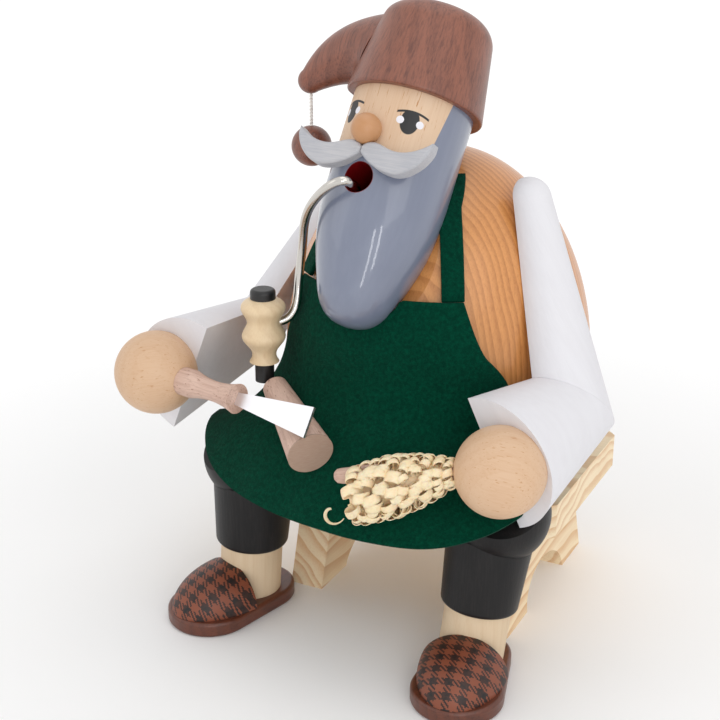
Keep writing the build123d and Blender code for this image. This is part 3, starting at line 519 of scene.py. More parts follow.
# Wooden pieces
CAP_WOOD = Wood(5.0, 0.25, 0.55, 0.25, 0.7)
CAP_PITH = at(12, -HEAD_FORWARD, HEAD_HEIGHT)
TORSO_PITH = at(15, -63, 60)
NOSE_WOOD = Wood(2.2, 0.1, 0.12)
HAND_WOOD = Wood(2.4, 0.08, 0.14, 0.6, 0.9)
TROUSER_WOOD = Wood(4.0, 0.15, 0.45)
TROUSER_PITH = at(5, 30, 0)
SHIN_WOOD = Wood(2.2, 0.1, 0.12, 0.1)
SOLE_WOOD = Wood(3.0, 0.2, 0.3, 0.1)
SEAT_PITH = at(0, 10, -30)
STOOL_LEG_PITH = {"_left": at(60, 0, -25), "_right": at(-60, 0, -25)}
STOOL_TURN = 6.2
DOWEL_WOOD = Wood(3.0, 0.3, 0.3, 0.3)
BOWL_WOOD = Wood(2.4, 0.14, 0.15, 0.1)
BOWL_TURN = (0.2, 0.1, 0)
TOOL_WOOD = Wood(4.0, 0.2, 0.3, 0.8)
SATIN = {"Roughness": 0.4, "Coat_Weight": 0.2, "Coat_Roughness": 0.3}


def pith(node, x, y, z):
    """The middle of a wood's rings, in millimetres from the middle of a node."""
    return node_middle(node) + Vector((x, y, z)) * MM


class CARVER_OT_cap(bpy.types.Operator):
    """Stains the cap, its tip and the bobble"""

    bl_idname = "carver.cap"
    bl_label = "Cap"

    def execute(self, context):
        colours = context.scene.carver_colours
        stain = wood_material(
            "stained_cap", colours.cap, colours.cap_dark, CAP_WOOD, CAP_PITH, HEAD_TURN,
            Roughness=0.42, Coat_Weight=0.25, Coat_Roughness=0.3,
        )
        dress(stain, "cap_body", "cap_tip", "bobble")
        return {"FINISHED"}


class CARVER_OT_torso(bpy.types.Operator):
    """Lacquers the ringed torso"""

    bl_idname = "carver.torso"
    bl_label = "Torso"

    def execute(self, context):
        colours = context.scene.carver_colours
        wood = Wood(context.scene.carver_sizes.torso_ring / MM, ring=0.42, pores=0.22)
        lacquer = wood_material(
            "lacquered_torso", colours.torso, colours.torso_dark, wood, TORSO_PITH,
            Roughness=0.4, Coat_Weight=0.4, Coat_Roughness=0.2,
        )
        dress(lacquer, "torso")
        return {"FINISHED"}


class CARVER_OT_head(bpy.types.Operator):
    """Paints the face, the beard and the moustache"""

    bl_idname = "carver.head"
    bl_label = "Head"

    def execute(self, context):
        colours = context.scene.carver_colours
        dress(head_material(colours), "head")
        brushed = paint_material(
            "grey_moustache", colours.moustache, colours.moustache_dark, HEAD_ORIGIN, HEAD_TURN,
            strokes=0.9, width=0.35, Roughness=0.45,
        )
        dress(brushed, *both("moustache"))
        nose = wood_material(
            "beech_nose", colours.nose, colours.beech_dark, NOSE_WOOD, pith("nose", 2, 4, 0),
            turned(50, 0, 0), **SATIN,
        )
        dress(nose, "nose")
        return {"FINISHED"}


# Painted eyes: angle round the head from its front and height above the mouth, degrees and millimetres
EYES = (
    {"angle": 31.6, "rise": 16.1, "half": (2.35, 3.2), "dots": (22.8, 41.3), "dot_rise": 16.0,
     "lid": (18.0, 48.0), "lid_rise": 18.6},
    {"angle": -35.4, "rise": 17.2, "half": (2.3, 3.2), "dots": (-44.4, -25.6), "dot_rise": 17.1,
     "lid": (-52.0, -19.0), "lid_rise": 19.7},
)
EYE_DOT = 0.95
LID_HALF = 0.3
LID_CURVE = 0.045
FACE_HALF_ANGLE = 66.0
FACE_NARROWING = 0.68
FACE_TOP = 22.7
FACE_FOOT = 6.4
FACE_GRAIN = 0.4
MOUTH_RADIUS = 4.0


def painted_eye(net, angle, rise, eye):
    """Masks of one eye's black and of its white dots."""
    to_side = HEAD_RADIUS * math.pi / 180

    def offset(degrees):
        return net.times(net.minus(angle, degrees), to_side)

    def ellipse(across, up, half_width, half_height):
        wide = net.math("POWER", net.divide(across, half_width), 2.0)
        tall = net.math("POWER", net.divide(up, half_height), 2.0)
        return net.ramp(net.math("SQRT", net.plus(wide, tall)), 0.96, 1.04, 1.0, 0.0)

    up = net.minus(rise, eye["rise"])
    black = ellipse(offset(eye["angle"]), up, *eye["half"])
    dot_up = net.minus(rise, eye["dot_rise"])
    white = 0.0
    for degrees in eye["dots"]:
        white = net.math("MAXIMUM", white, ellipse(offset(degrees), dot_up, EYE_DOT, EYE_DOT))
    first, last = eye["lid"]
    across = offset((first + last) / 2)
    half = (last - first) / 2 * to_side
    sag = net.times(net.math("POWER", across, 2.0), LID_CURVE)
    over = net.plus(net.minus(rise, eye["lid_rise"]), sag)
    black = net.times(black, net.ramp(over, 0.0, LID_HALF / 2, 1.0, 0.0))
    line = net.ramp(net.math("ABSOLUTE", over), LID_HALF * 0.75, LID_HALF * 1.2, 1.0, 0.0)
    span = net.ramp(net.math("ABSOLUTE", across), half * 0.96, half * 1.03, 1.0, 0.0)
    return net.math("MAXIMUM", black, net.times(line, span)), white


# The face's edge against the beard, as a half width in degrees and in millimetres, and its wood
FACE_EDGE_ANGLE = 0.4
FACE_EDGE = 0.1
FACE_WOOD = Wood(7.0, 0.08, 0.12, 1.0, 0.8)
FACE_PITH = (9.0, 30.0, 0.0)
BEARD_STROKES = 0.5
BEARD_STROKE_WIDTH = 1.8
BEARD_RELIEF = 0.4


def head_material(colours):
    """Bare beech face with painted eyes, gloss beard and a red mouth."""
    net = Look("painted_head")
    vector = net.place(HEAD_ORIGIN, HEAD_TURN)
    x, y, z = net.parts(vector)
    degrees = net.math("DEGREES", net.math("ARCTAN2", x, net.times(y, -1.0)))
    drawn = net.stretch(net.shift(vector, FACE_PITH), (1.0, 1.0, FACE_GRAIN))
    beech, beech_height = wood_group(net, drawn, colours.face, colours.beech_dark, FACE_WOOD)
    beard, beard_height = paint_group(
        net, net.join(z, x, y), colours.beard, colours.beard_light, BEARD_STROKES, BEARD_STROKE_WIDTH
    )
    limit = net.math("MULTIPLY_ADD", net.minus(z, FACE_TOP), FACE_NARROWING, FACE_HALF_ANGLE)
    side = net.minus(net.math("ABSOLUTE", degrees), limit)
    bare = net.times(
        net.ramp(side, -FACE_EDGE_ANGLE, FACE_EDGE_ANGLE, 1.0, 0.0),
        net.ramp(z, FACE_FOOT - FACE_EDGE, FACE_FOOT + FACE_EDGE),
    )
    colour = net.mix(bare, beard, beech)
    for eye in EYES:
        black, white = painted_eye(net, degrees, z, eye)
        colour = net.mix(black, colour, colours.eye)
        colour = net.mix(white, colour, colours.eye_white)
    near_mouth = net.math("LESS_THAN", net.far(net.join(x, 0.0, z)), MOUTH_RADIUS)
    in_mouth = net.times(near_mouth, net.math("LESS_THAN", y, HEAD_FLAT))
    colour = net.mix(in_mouth, colour, colours.mouth)
    height = net.math("MULTIPLY_ADD", bare, beech_height, net.times(beard_height, BEARD_RELIEF))
    return net.finish(
        colour, height, bump=0.2, Roughness=net.ramp(bare, 0.0, 1.0, 0.32, 0.5),
        Coat_Weight=net.ramp(bare, 0.0, 1.0, 0.8, 0.08), Coat_Roughness=0.05,
    )


# The way the grain runs through each hand, in degrees about Y and Z
HAND_GRAIN = {"_left": (104, 30), "_right": (84, 36)}


class CARVER_OT_arms(bpy.types.Operator):
    """Paints the sleeves and finishes the beech hands"""

    bl_idname = "carver.arms"
    bl_label = "Arms and hands"

    def execute(self, context):
        colours = context.scene.carver_colours
        white = paint_material(
            "white_sleeve", colours.sleeve, colours.sleeve_shade, at(0, 0, 90), turned(0, 60, 0),
            strokes=0.5, width=2.0, Roughness=0.62,
        )
        dress(white, *both("upper_arm", "forearm"))
        for side, (lean, swing) in HAND_GRAIN.items():
            hand = wood_material(
                "beech_hand" + side, colours.beech, colours.beech_dark, HAND_WOOD,
                pith("hand" + side, 4, 20, 2), turned(0, lean, swing),
                Roughness=0.5, Coat_Weight=0.05, Coat_Roughness=0.4,
            )
            dress(hand, "hand" + side)
        return {"FINISHED"}


class CARVER_OT_legs(bpy.types.Operator):
    """Stains the trousers and finishes shins and slippers"""

    bl_idname = "carver.legs"
    bl_label = "Legs and slippers"

    def execute(self, context):
        colours = context.scene.carver_colours
        sizes = context.scene.carver_sizes
        black = wood_material(
            "black_trouser", colours.trouser, colours.trouser_grain, TROUSER_WOOD, TROUSER_PITH,
            Roughness=0.42, Specular_IOR_Level=0.3,
        )
        dress(black, "hip_block", *both("thigh", "trouser_leg"))
        for side in ("_left", "_right"):
            shin = wood_material(
                "pale_shin" + side, colours.pale_wood, colours.pale_dark, SHIN_WOOD,
                pith("shin" + side, 10, 20, 0), Roughness=0.55,
            )
            dress(shin, "shin" + side)
            dress(check_material(colours, sizes, side), "slipper_toe" + side)
        sole = wood_material(
            "slipper_brown", colours.slipper_sole, colours.slipper_dark, SOLE_WOOD, at(0, 0, 0),
            turned(90, 0, 0), **SATIN,
        )
        dress(sole, *both("slipper_sole"))
        return {"FINISHED"}


# Slippers: how far each foot turns out, the threads in one repeat, and the toe's slope
FOOT_TURN = {"_left": 16.0, "_right": -13.0}
CHECK_REPEAT = 12.0
TWILL_REPEAT = 4.0
TOE_SLOPE = 0.6


def check_material(colours, sizes, side):
    """Brown and black twill check that follows the foot."""
    net = Look("slipper_check" + side)
    vector = net.place(node_middle("slipper_toe" + side), turned(0, 0, FOOT_TURN[side]))
    x, y, z = net.parts(vector)
    thread = sizes.check_thread / MM

    def first_half(count, repeat):
        return net.math("LESS_THAN", net.math("FLOORED_MODULO", count, repeat), repeat / 2)

    across = net.math("FLOOR", net.divide(x, thread))
    along = net.math("FLOOR", net.divide(net.math("MULTIPLY_ADD", z, TOE_SLOPE, y), thread))
    over = first_half(net.plus(across, along), TWILL_REPEAT)
    warp = net.times(over, first_half(across, CHECK_REPEAT))
    weft = net.times(net.minus(1.0, over), first_half(along, CHECK_REPEAT))
    worn = net.ramp(net.noise(vector, 0.7, 4.0), 0.35, 0.7, 0.85, 1.0)
    colour = net.mix(net.times(net.plus(warp, weft), worn), colours.slipper, colours.slipper_dark)
    return net.finish(colour, net.noise(vector, 2.0, 2.0), bump=0.15, Roughness=0.5)


class CARVER_OT_stool(bpy.types.Operator):
    """Finishes the pine stool and the dowels"""

    bl_idname = "carver.stool"
    bl_label = "Stool"

    def execute(self, context):
        colours = context.scene.carver_colours
        spacing = context.scene.carver_sizes.pine_ring / MM
        plank = wood_material(
            "pine_plank", colours.pine, colours.pine_dark, Wood(spacing, ring=0.55, pores=0.18), SEAT_PITH,
            turned(0, 90, STOOL_TURN), Roughness=0.55,
        )
        dress(plank, "stool_seat")
        for side, place in STOOL_LEG_PITH.items():
            panel = wood_material(
                "pine_leg" + side, colours.pine, colours.pine_dark, Wood(spacing, ring=0.6, pores=0.18),
                place, turned(90, 0, STOOL_TURN), Roughness=0.55,
            )
            dress(panel, "stool_leg" + side)
        dowel = wood_material(
            "dowel_wood", colours.beech, colours.beech_dark, DOWEL_WOOD, at(0, 0, 0), Roughness=0.6
        )
        dress(
            dowel, "stool_dowels", "hip_dowels", "knee_dowels", "neck_dowel", "shoulder_dowels",
            "elbow_dowels", "wrist_dowels",
        )
        return {"FINISHED"}


# The blank: its ends on its axis, how far its pith lies off that axis, and its sawn end
BLANK_HIGH = (-21.6, -46.6, 67.5)
BLANK_LOW = (0.2, -61.8, 60.0)
BLANK_PITH = (6.0, 8.0, 0.0)
BLANK_EDGE = 0.45
SAW_SCALE = (0.5, 4.0, 1.0)
SAW_SHARE = 0.25


def blank_material(colours):
    """Steamed beech with grain along the blank and a sawn end."""
    net = Look("pink_blank")
    low = at(*BLANK_LOW)
    vector = net.place(low, (low - at(*BLANK_HIGH)).to_track_quat("Z", "Y").to_euler())
    off_pith = net.shift(vector, BLANK_PITH)
    wood, height = wood_group(net, off_pith, colours.pink_beech, colours.pink_dark, TOOL_WOOD)
    saw = net.ramp(net.noise(net.stretch(vector, SAW_SCALE), 1.0, 3.0), 0.3, 0.7)
    sawn = net.mix(saw, colours.end_grain, colours.pink_dark)
    faint = net.mix(SAW_SHARE, colours.end_grain, sawn)
    end = net.ramp(net.parts(vector)[2], -BLANK_EDGE, -BLANK_EDGE * 0.8)
    return net.finish(net.mix(end, wood, faint), height, WOOD_BUMP, Roughness=0.6)


class CARVER_OT_tools(bpy.types.Operator):
    """Finishes the pipe, the chisel, the blank and the incense tray"""

    bl_idname = "carver.tools"
    bl_label = "Pipe and chisel"

    def execute(self, context):
        colours = context.scene.carver_colours
        bowl = wood_material(
            "pale_bowl", colours.bowl, colours.pale_dark, BOWL_WOOD, pith("pipe_bowl", 4, 6, 0),
            BOWL_TURN, Roughness=0.45, Coat_Weight=0.15, Coat_Roughness=0.3,
        )
        dress(bowl, "pipe_bowl")
        black = paint_material(
            "black_fitting", colours.fitting, colours.trouser_grain, at(0, 0, 0),
            strokes=0.4, width=0.6, Roughness=0.4,
        )
        dress(black, "pipe_lid", "pipe_ferrule")
        pink = wood_material(
            "pink_handle", colours.pink_beech, colours.pink_dark, TOOL_WOOD, pith("chisel_handle", 0, 6, 8),
            turned(0, 90, -5), Roughness=0.55,
        )
        dress(pink, "chisel_handle")
        dress(blank_material(colours), "blank")
        dress(metal_material("stem_wire", colours.stem, 0.12, 0.03), "pipe_stem")
        dress(metal_material("blade_metal", colours.blade, 0.3), "chisel_blade")
        dress(metal_material("tray_metal", colours.tray, 0.3), "incense_tray")
        dress(metal_material("tack_metal", colours.tack, 0.3), "tray_tack")
        return {"FINISHED"}


# Felt apron: the middle line of its outer face as forward and height
FELT_GAP = 0.6
BIB_TOP = 94.6
BIB_FOOT = 72.0
LAP_LINE = ((45.6, 67.0), (50.5, 61.5), (56.0, 55.5), (61.5, 49.0), (67.0, 42.0))
# Share of the way along it, reach to the figure's right and to its left, and radius of the curve across
APRON_CUTS = (
    (0.0, 21.5, 24.3, 41.2),
    (0.22, 23.3, 30.4, 43.6),
    (0.39, 27.0, 35.5, 45.0),
    (0.5, 32.0, 38.5, 57.0),
    (0.62, 46.0, 48.0, 90.0),
    (0.81, 54.0, 58.0, 112.0),
    (1.0, 56.0, 60.0, 112.0),
)
SKIRT_HALF = 48.5
SKIRT_SHIFT = 2.0
HEM_FORWARD = 66.5
HEM_CENTRE = 40.0
HEM_STEP = 0.001
BEARD_NOTCH = 0.1
BEARD_NOTCH_HALF = 10.6
APRON_ROWS = 70
APRON_COLUMNS = 61
APRON_ROW_POWER = 1.15
APRON_EDGE = 0.35
# Waves along the hem
WAVE_POWER = 6
WAVE_TURN = 0.23
WAVE_START = 0.6
WAVE_SWELL = 0.11
# Room for the left arm and hand
SLEEVE_ROOM = 0.8
LEFT_CUFF = Vector((48.0, -45.8, 64.0))
LEFT_CUFF_WAY = Vector((-0.176, -0.975, -0.134))
HAND_ROOM = 1.2
LEFT_SHOULDER = Vector((27.5, -3.0, 115.0))
LEFT_TOE_IN = math.radians(13.6)
LEFT_LEAN = math.radians(23.5)
# Straps: turn, top and spread in degrees, then half width, mesh and rounded edge
STRAP_TURN = 35.2
STRAP_TOP_LATITUDE = 70.0
STRAP_SPREAD = 0.5
STRAP_SPREAD_FROM = 56.0
STRAP_HALF = 2.9
STRAP_ROWS = 16
STRAP_COLUMNS = 7
STRAP_EDGE = 0.3
# Reach, places and steps of the searches for the felt's edges
LEVEL_REACH = 0.2
LEVEL_PLACES = 52
HALVINGS = 30


def torso_radius(height):
    return TORSO_RADIUS * math.sqrt(1 - ((height - TORSO_CENTRE) / TORSO_HALF_HEIGHT) ** 2)


# Factors of a cubic, from its constant up, by the values and then the slopes at its two ends
CUBIC = np.array([[1, 0, 0, 0], [0, 0, 1, 0], [-3, 3, -2, -1], [2, -2, 1, 1]])


class Track:
    """A smooth curve through values at stations along it."""

    def __init__(self, stations, values):
        self.stations = np.array(stations, float)
        self.values = np.array(values, float)
        self.slopes = np.gradient(self.values, self.stations, axis=0)

    def read(self, share):
        """Value and slope at a share of the way."""
        last = int(np.clip(np.searchsorted(self.stations, share, side="right"), 1, len(self.stations) - 1))
        ends = [last - 1, last]
        span = self.stations[last] - self.stations[last - 1]
        step = (share - self.stations[last - 1]) / span
        factors = CUBIC @ np.concatenate([self.values[ends], self.slopes[ends] * span])
        value = step ** np.arange(4) @ factors
        slope = np.arange(1, 4) * step ** np.arange(3) @ factors[1:]
        return value, slope / span


def halve(inside, low, high):
    """The far end of the stretch from low on where a test holds."""
    for _ in range(HALVINGS):
        half = (low + high) / 2
        if inside(half):
            low = half
        else:
            high = half
    return low


class ApronShape:
    """The felt's outer face as a function of the way along it and across it, in millimetres."""

    def __init__(self, felt):
        heights = (BIB_TOP, (BIB_TOP + BIB_FOOT) / 2, BIB_FOOT)
        bib = [(torso_radius(height) + FELT_GAP + felt, height) for height in heights]
        points = np.array(bib + list(LAP_LINE))
        runs = np.linalg.norm(np.diff(points, axis=0), axis=1)
        stations = np.concatenate([[0], np.cumsum(runs)]) / runs.sum()
        cuts = np.array(APRON_CUTS)
        self.line = Track(stations, points)
        self.cuts = Track(cuts[:, 0], cuts[:, 1:])
        self.across = np.linspace(0, SKIRT_HALF + SKIRT_SHIFT, LEVEL_PLACES)
        self.levels = [self.find_level(x) for x in self.across]

    def point(self, share, x, lift=0.0):
        """A place on the felt, raised off it by a lift."""
        (forward, height), way = self.line.read(share)
        go_forward, go_up = way / np.linalg.norm(way)
        curve = self.cuts.read(share)[0][2]
        drop = curve - math.sqrt(max(curve ** 2 - x ** 2, 1.0)) - lift
        return Vector((x, -forward - go_up * drop, height - go_forward * drop))

    def find_level(self, x):
        """The share at which the felt is as high as the bib's top."""
        return halve(lambda share: self.point(share, x).z > BIB_TOP, -LEVEL_REACH, LEVEL_REACH)

    def level(self, x):
        return float(np.interp(abs(x), self.across, self.levels))

    def outside(self, share, x):
        """Whether a place lies past the hem or behind the left sleeve."""
        place = self.point(share, x)
        aside = (x - SKIRT_SHIFT) / SKIRT_HALF
        past = max(-place.y - HEM_CENTRE, 0.0) / (HEM_FORWARD - HEM_CENTRE)
        if aside ** 2 + past ** 2 > 1:
            return True
        behind_cuff = (place - LEFT_CUFF).dot(LEFT_CUFF_WAY) < 0
        return x > 0 and behind_cuff and sleeve_distance(place) > -SLEEVE_ROOM

    def limit(self, share, side):
        """How far the felt reaches to one side."""
        far = self.cuts.read(share)[0][0 if side < 0 else 1]
        if not self.outside(share, side * far):
            return side * far
        near = halve(lambda reach: not self.outside(share, SKIRT_SHIFT + side * reach), 0.0, far)
        return SKIRT_SHIFT + side * near


def sleeve_distance(place):
    """How far a place lies outside the flat of the left arm."""
    level = math.cos(LEFT_LEAN)
    outward = Vector((level * math.cos(LEFT_TOE_IN), -level * math.sin(LEFT_TOE_IN), math.sin(LEFT_LEAN)))
    return (place - LEFT_SHOULDER).dot(outward)


FELT_FIBRE_SCALE = (5.0, 1.6, 3.0)
FELT_MAT_SHARE = 0.35
FELT_FIBRE_SHARE = 0.3


def felt_material(colours):
    """Wool felt: matted fibres with lighter ones on top."""
    net = Look("green_felt")
    vector = net.place()
    mat = net.ramp(net.noise(vector, 1.1, 6.0, 0.7), 0.35, 0.7)
    fibre = net.ramp(net.noise(net.stretch(vector, FELT_FIBRE_SCALE), 1.0, 3.0), 0.55, 0.75)
    share = net.math("MULTIPLY_ADD", mat, FELT_MAT_SHARE, net.times(fibre, FELT_FIBRE_SHARE))
    return net.finish(
        net.mix(share, colours.felt, colours.felt_light), net.plus(mat, fibre), bump=0.8,
        Roughness=0.95, Sheen_Weight=0.04, Sheen_Roughness=0.5, Specular_IOR_Level=0.04,
    )


EDGE_ANGLE = math.radians(50)


def thicken(piece, thickness, bevel):
    """Gives a sheet its thickness inwards, rounds its edge and makes the mesh final."""
    solid = piece.modifiers.new("thickness", "SOLIDIFY")
    solid.thickness = thickness
    solid.offset = -1
    edge = piece.modifiers.new("edge", "BEVEL")
    edge.width = bevel
    edge.segments = 2
    edge.limit_method = "ANGLE"
    edge.angle_limit = EDGE_ANGLE
    settle(piece)


def give_way(place, centre, room):
    """Presses the felt down where the left hand rests on it."""
    away = place - centre
    return centre + away.normalized() * max(away.length, room)


class CARVER_OT_apron(bpy.types.Operator):
    """Cuts and drapes the felt apron and its straps"""

    bl_idname = "carver.apron"
    bl_label = "Apron"

    def execute(self, context):
        sizes = context.scene.carver_sizes
        felt = felt_material(context.scene.carver_colours)
        self.make_apron(felt, sizes)
        self.make_straps(felt, sizes)
        return {"FINISHED"}

    def make_apron(self, felt, sizes):
        shape = ApronShape(sizes.felt_thickness / MM)
        end = 1.0
        while shape.outside(end, SKIRT_SHIFT):
            end -= HEM_STEP
        wave = sizes.felt_wave / MM
        hand, radius = hand_ball("_left")
        room = radius + HAND_ROOM * MM
        vertices = []
        for row in range(APRON_ROWS):
            share = end * math.sin(math.pi / 2 * row / (APRON_ROWS - 1)) ** APRON_ROW_POWER
            low, high = shape.limit(share, -1), shape.limit(share, 1)
            for column in range(APRON_COLUMNS):
                x = low + (high - low) * column / (APRON_COLUMNS - 1)
                notch = BEARD_NOTCH * math.sqrt(max(1 - (x / BEARD_NOTCH_HALF) ** 2, 0))
                start = (shape.level(x) + notch) * (1 - share / end)
                swing = math.sin(x * WAVE_TURN + WAVE_START) * math.cos(x * WAVE_SWELL)
                ripple = wave * (share / end) ** WAVE_POWER * swing
                vertices.append(give_way(at(*shape.point(share + start, x, ripple)), hand, room))
        apron = new_piece("felt_apron", vertices, grid_faces(APRON_ROWS, APRON_COLUMNS), felt)
        thicken(apron, sizes.felt_thickness, APRON_EDGE * MM)
        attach(apron, "upper_figure")
        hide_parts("apron")

    def make_straps(self, felt, sizes):
        layer = FELT_GAP + sizes.felt_thickness / MM
        low = math.asin((BIB_TOP - TORSO_CENTRE) / TORSO_HALF_HEIGHT)
        high = math.radians(STRAP_TOP_LATITUDE)
        for side, name in ((1, "felt_strap_left"), (-1, "felt_strap_right")):
            vertices = []
            for row in range(STRAP_ROWS):
                latitude = low + (high - low) * row / (STRAP_ROWS - 1)
                radius = TORSO_RADIUS * math.cos(latitude) + layer
                height = TORSO_CENTRE + TORSO_HALF_HEIGHT * math.sin(latitude)
                spread = STRAP_SPREAD * max(math.degrees(latitude) - STRAP_SPREAD_FROM, 0)
                middle = math.radians(STRAP_TURN + spread)
                for column in range(STRAP_COLUMNS):
                    angle = middle + STRAP_HALF * (2 * column / (STRAP_COLUMNS - 1) - 1) / radius
                    vertices.append(at(side * radius * math.sin(angle), -radius * math.cos(angle), height))
            faces = grid_faces(STRAP_ROWS, STRAP_COLUMNS)
            if side < 0:
                faces = [tuple(reversed(face)) for face in faces]
            strap = new_piece(name, vertices, faces, felt)
            thicken(strap, sizes.felt_thickness, STRAP_EDGE * MM)
            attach(strap, "upper_figure")
            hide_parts("apron_straps")


# Shaved chip tree: its nib, how its curls swell and hang from there to the hand, and its core
TREE_NIB = (9.4, -65.1, 57.7)
TREE_NIB_LENGTH = 5.2 * MM
TREE_RADIUS = 7.8 * MM
TREE_SWELL_START = 0.34
TREE_SWELL_SPAN = 0.52
TREE_SAG = (1.6, -4.6, -4.4)
TREE_CORE = 0.6
CORE_STEPS = 16
TREE_SIDES = 24
# The trunk's nib as radius and way along, then its radius at shares of the tree, and its end in the hand
TRUNK_NIB = ((0.0, 0.0), (1.0, 0.2), (1.7, 0.9), (1.9, 2.0), (2.0, 3.4))
TRUNK_BODY = ((2.6, 0.3), (2.2, 0.8))
TRUNK_END_RADIUS = 1.8
TRUNK_END = 1.0
TRUNK_WOOD = Wood(3.0, 0.2, 0.3, 0.6, 0.8)
# One curl: turns in all and its first angle in half turns, then how its strip narrows, rises and bows
CURL_STEPS = 22
CURL_TURNS = 1.12
CURL_START = 1.15
CURL_TIGHTENING = 0.3
CURL_RISE = 1.08
CURL_TAPER = 0.2
CURL_BOW = 0.05
CURL_ACROSS = (-1.0, -0.5, 0.0, 0.5, 1.0)
# How the curls vary, with the seed of each draw
TREE_SEED = 7
JITTER = 0.3
CURL_SIZE = (0.75, 1.3, 3)
CURL_TILT = (-0.7, 0.3, 5)
CURL_TWIST = (-0.45, 0.45, 11)
CURL_LEAST = 0.45
CURL_ROOM = 3.1 * MM
CURL_ROOT = 0.6 * MM
# The loose shaving: its place on the felt, its roll, how it thins and lifts, and the felt's middle line
SHAVING_SHARE = 0.915
SHAVING_SIDE = 8.6
SHAVING_RADIUS = 2.6
SHAVING_HALF = 0.55
SHAVING_TURN = 4.4
SHAVING_STEPS = 20
SHAVING_ROLL = 0.45
SHAVING_TAPER = 0.7
SHAVING_LIFT = 0.9
SHAVING_RISE = 1.4
SHAVING_TIP = 0.3
SHAVING_EDGE = 0.02
FELT_RUN = 66.0


def curl_mesh(sizes, material):
    """One shaved curl: a strip that leaves the trunk, arches out and rolls in, rooted near the origin."""
    vertices = []
    for step in range(CURL_STEPS):
        share = step / (CURL_STEPS - 1)
        angle = math.pi * (CURL_START - 2 * CURL_TURNS * share)
        radius = sizes.chip_curl * (1 - CURL_TIGHTENING * share ** 2)
        x = sizes.chip_curl + radius * math.cos(angle)
        z = radius * math.sin(angle) * CURL_RISE
        half = sizes.chip_width / 2 * (1 - CURL_TAPER * share)
        for side in CURL_ACROSS:
            bow = CURL_BOW * sizes.chip_width * side * side
            vertices.append((x - bow * math.cos(angle), half * side, z - bow * math.sin(angle)))
    piece = new_piece("shaved_curl", vertices, grid_faces(CURL_STEPS, len(CURL_ACROSS)), material)
    solid = piece.modifiers.new("thickness", "SOLIDIFY")
    solid.thickness = sizes.chip_thickness
    settle(piece)
    return piece


def tree_nodes(curl, material):
    """Geometry nodes that set curls in tiers round the trunk."""
    tree = bpy.data.node_groups.new("shaved tree", "GeometryNodeTree")
    inputs = {"Tiers": COUNT, "Curls Round": COUNT, "Length": NUMBER, "Radius": NUMBER, "Seed": COUNT}
    for label, kind in inputs.items():
        tree.interface.new_socket(label, in_out="INPUT", socket_type=kind)
    tree.interface.new_socket("Geometry", in_out="OUTPUT", socket_type="NodeSocketGeometry")
    net = Net(tree)
    given = tree.nodes.new("NodeGroupInput").outputs
    index = net.add("GeometryNodeInputIndex")

    def chance(low, high, seed):
        return net.add("FunctionNodeRandomValue", {2: low, 3: high, "ID": index, "Seed": seed}, out=1)

    points = net.add("GeometryNodePoints", {"Count": net.times(given["Tiers"], given["Curls Round"])})
    tier = net.math("FLOOR", net.divide(index, given["Curls Round"]))
    share = net.divide(net.plus(tier, 0.5), given["Tiers"])
    half_step = net.times(net.math("FLOORED_MODULO", tier, 2.0), 0.5)
    place = net.divide(net.plus(index, half_step), given["Curls Round"])
    angle = net.math("MULTIPLY_ADD", place, 2 * math.pi, chance(-JITTER, JITTER, given["Seed"]))
    along = net.math("MULTIPLY_ADD", share, TREE_SWELL_SPAN, TREE_SWELL_START)
    swell = net.math("SINE", net.times(along, math.pi))
    edge = net.times(swell, given["Radius"])
    grown = net.times(chance(*CURL_SIZE), net.math("MULTIPLY_ADD", swell, 1 - CURL_LEAST, CURL_LEAST))
    root = net.math("MAXIMUM", net.minus(edge, net.times(grown, CURL_ROOM)), CURL_ROOT)
    spot = net.join(
        net.times(net.math("COSINE", angle), root),
        net.times(net.math("SINE", angle), root),
        net.times(share, given["Length"]),
    )
    placed = net.add("GeometryNodeSetPosition", {"Geometry": points, "Position": spot})
    euler = net.join(chance(*CURL_TWIST), chance(*CURL_TILT), angle)
    turn = net.add("FunctionNodeEulerToRotation", {0: euler})
    shape = net.add("GeometryNodeObjectInfo", {"Object": curl}, out="Geometry")
    values = {"Points": placed, "Instance": shape, "Rotation": turn, "Scale": net.join(grown, grown, grown)}
    curls = net.add("GeometryNodeInstanceOnPoints", values)
    whole = net.add("GeometryNodeRealizeInstances", {0: curls})
    coloured = net.add("GeometryNodeSetMaterial", {"Geometry": whole, "Material": material})
    tree.links.new(coloured, tree.nodes.new("NodeGroupOutput").inputs[0])
    return tree


CHIP_ORIGIN = (25, -58, 60)
CHIP_SCALE = (3.0, 3.0, 0.6)
CHIP_LINE_SHARE = 0.35
CHIP_CLOUD_SHARE = 0.3


def chip_material(colours):
    """Thin shaved wood with faint lines along the curl."""
    net = Look("shaved_chips")
    vector = net.place(at(*CHIP_ORIGIN), turned(0, 80, 20))
    line = net.ramp(net.noise(net.stretch(vector, CHIP_SCALE), 1.0, 3.0), 0.4, 0.75)
    cloud = net.ramp(net.noise(vector, 0.3, 2.0), 0.35, 0.7)
    share = net.math("MULTIPLY_ADD", line, CHIP_LINE_SHARE, net.times(cloud, CHIP_CLOUD_SHARE))
    return net.finish(
        net.mix(share, colours.chip, colours.chip_dark), line, bump=0.3,
        Roughness=0.6, Subsurface_Weight=0.15, Subsurface_Scale=0.001,
    )


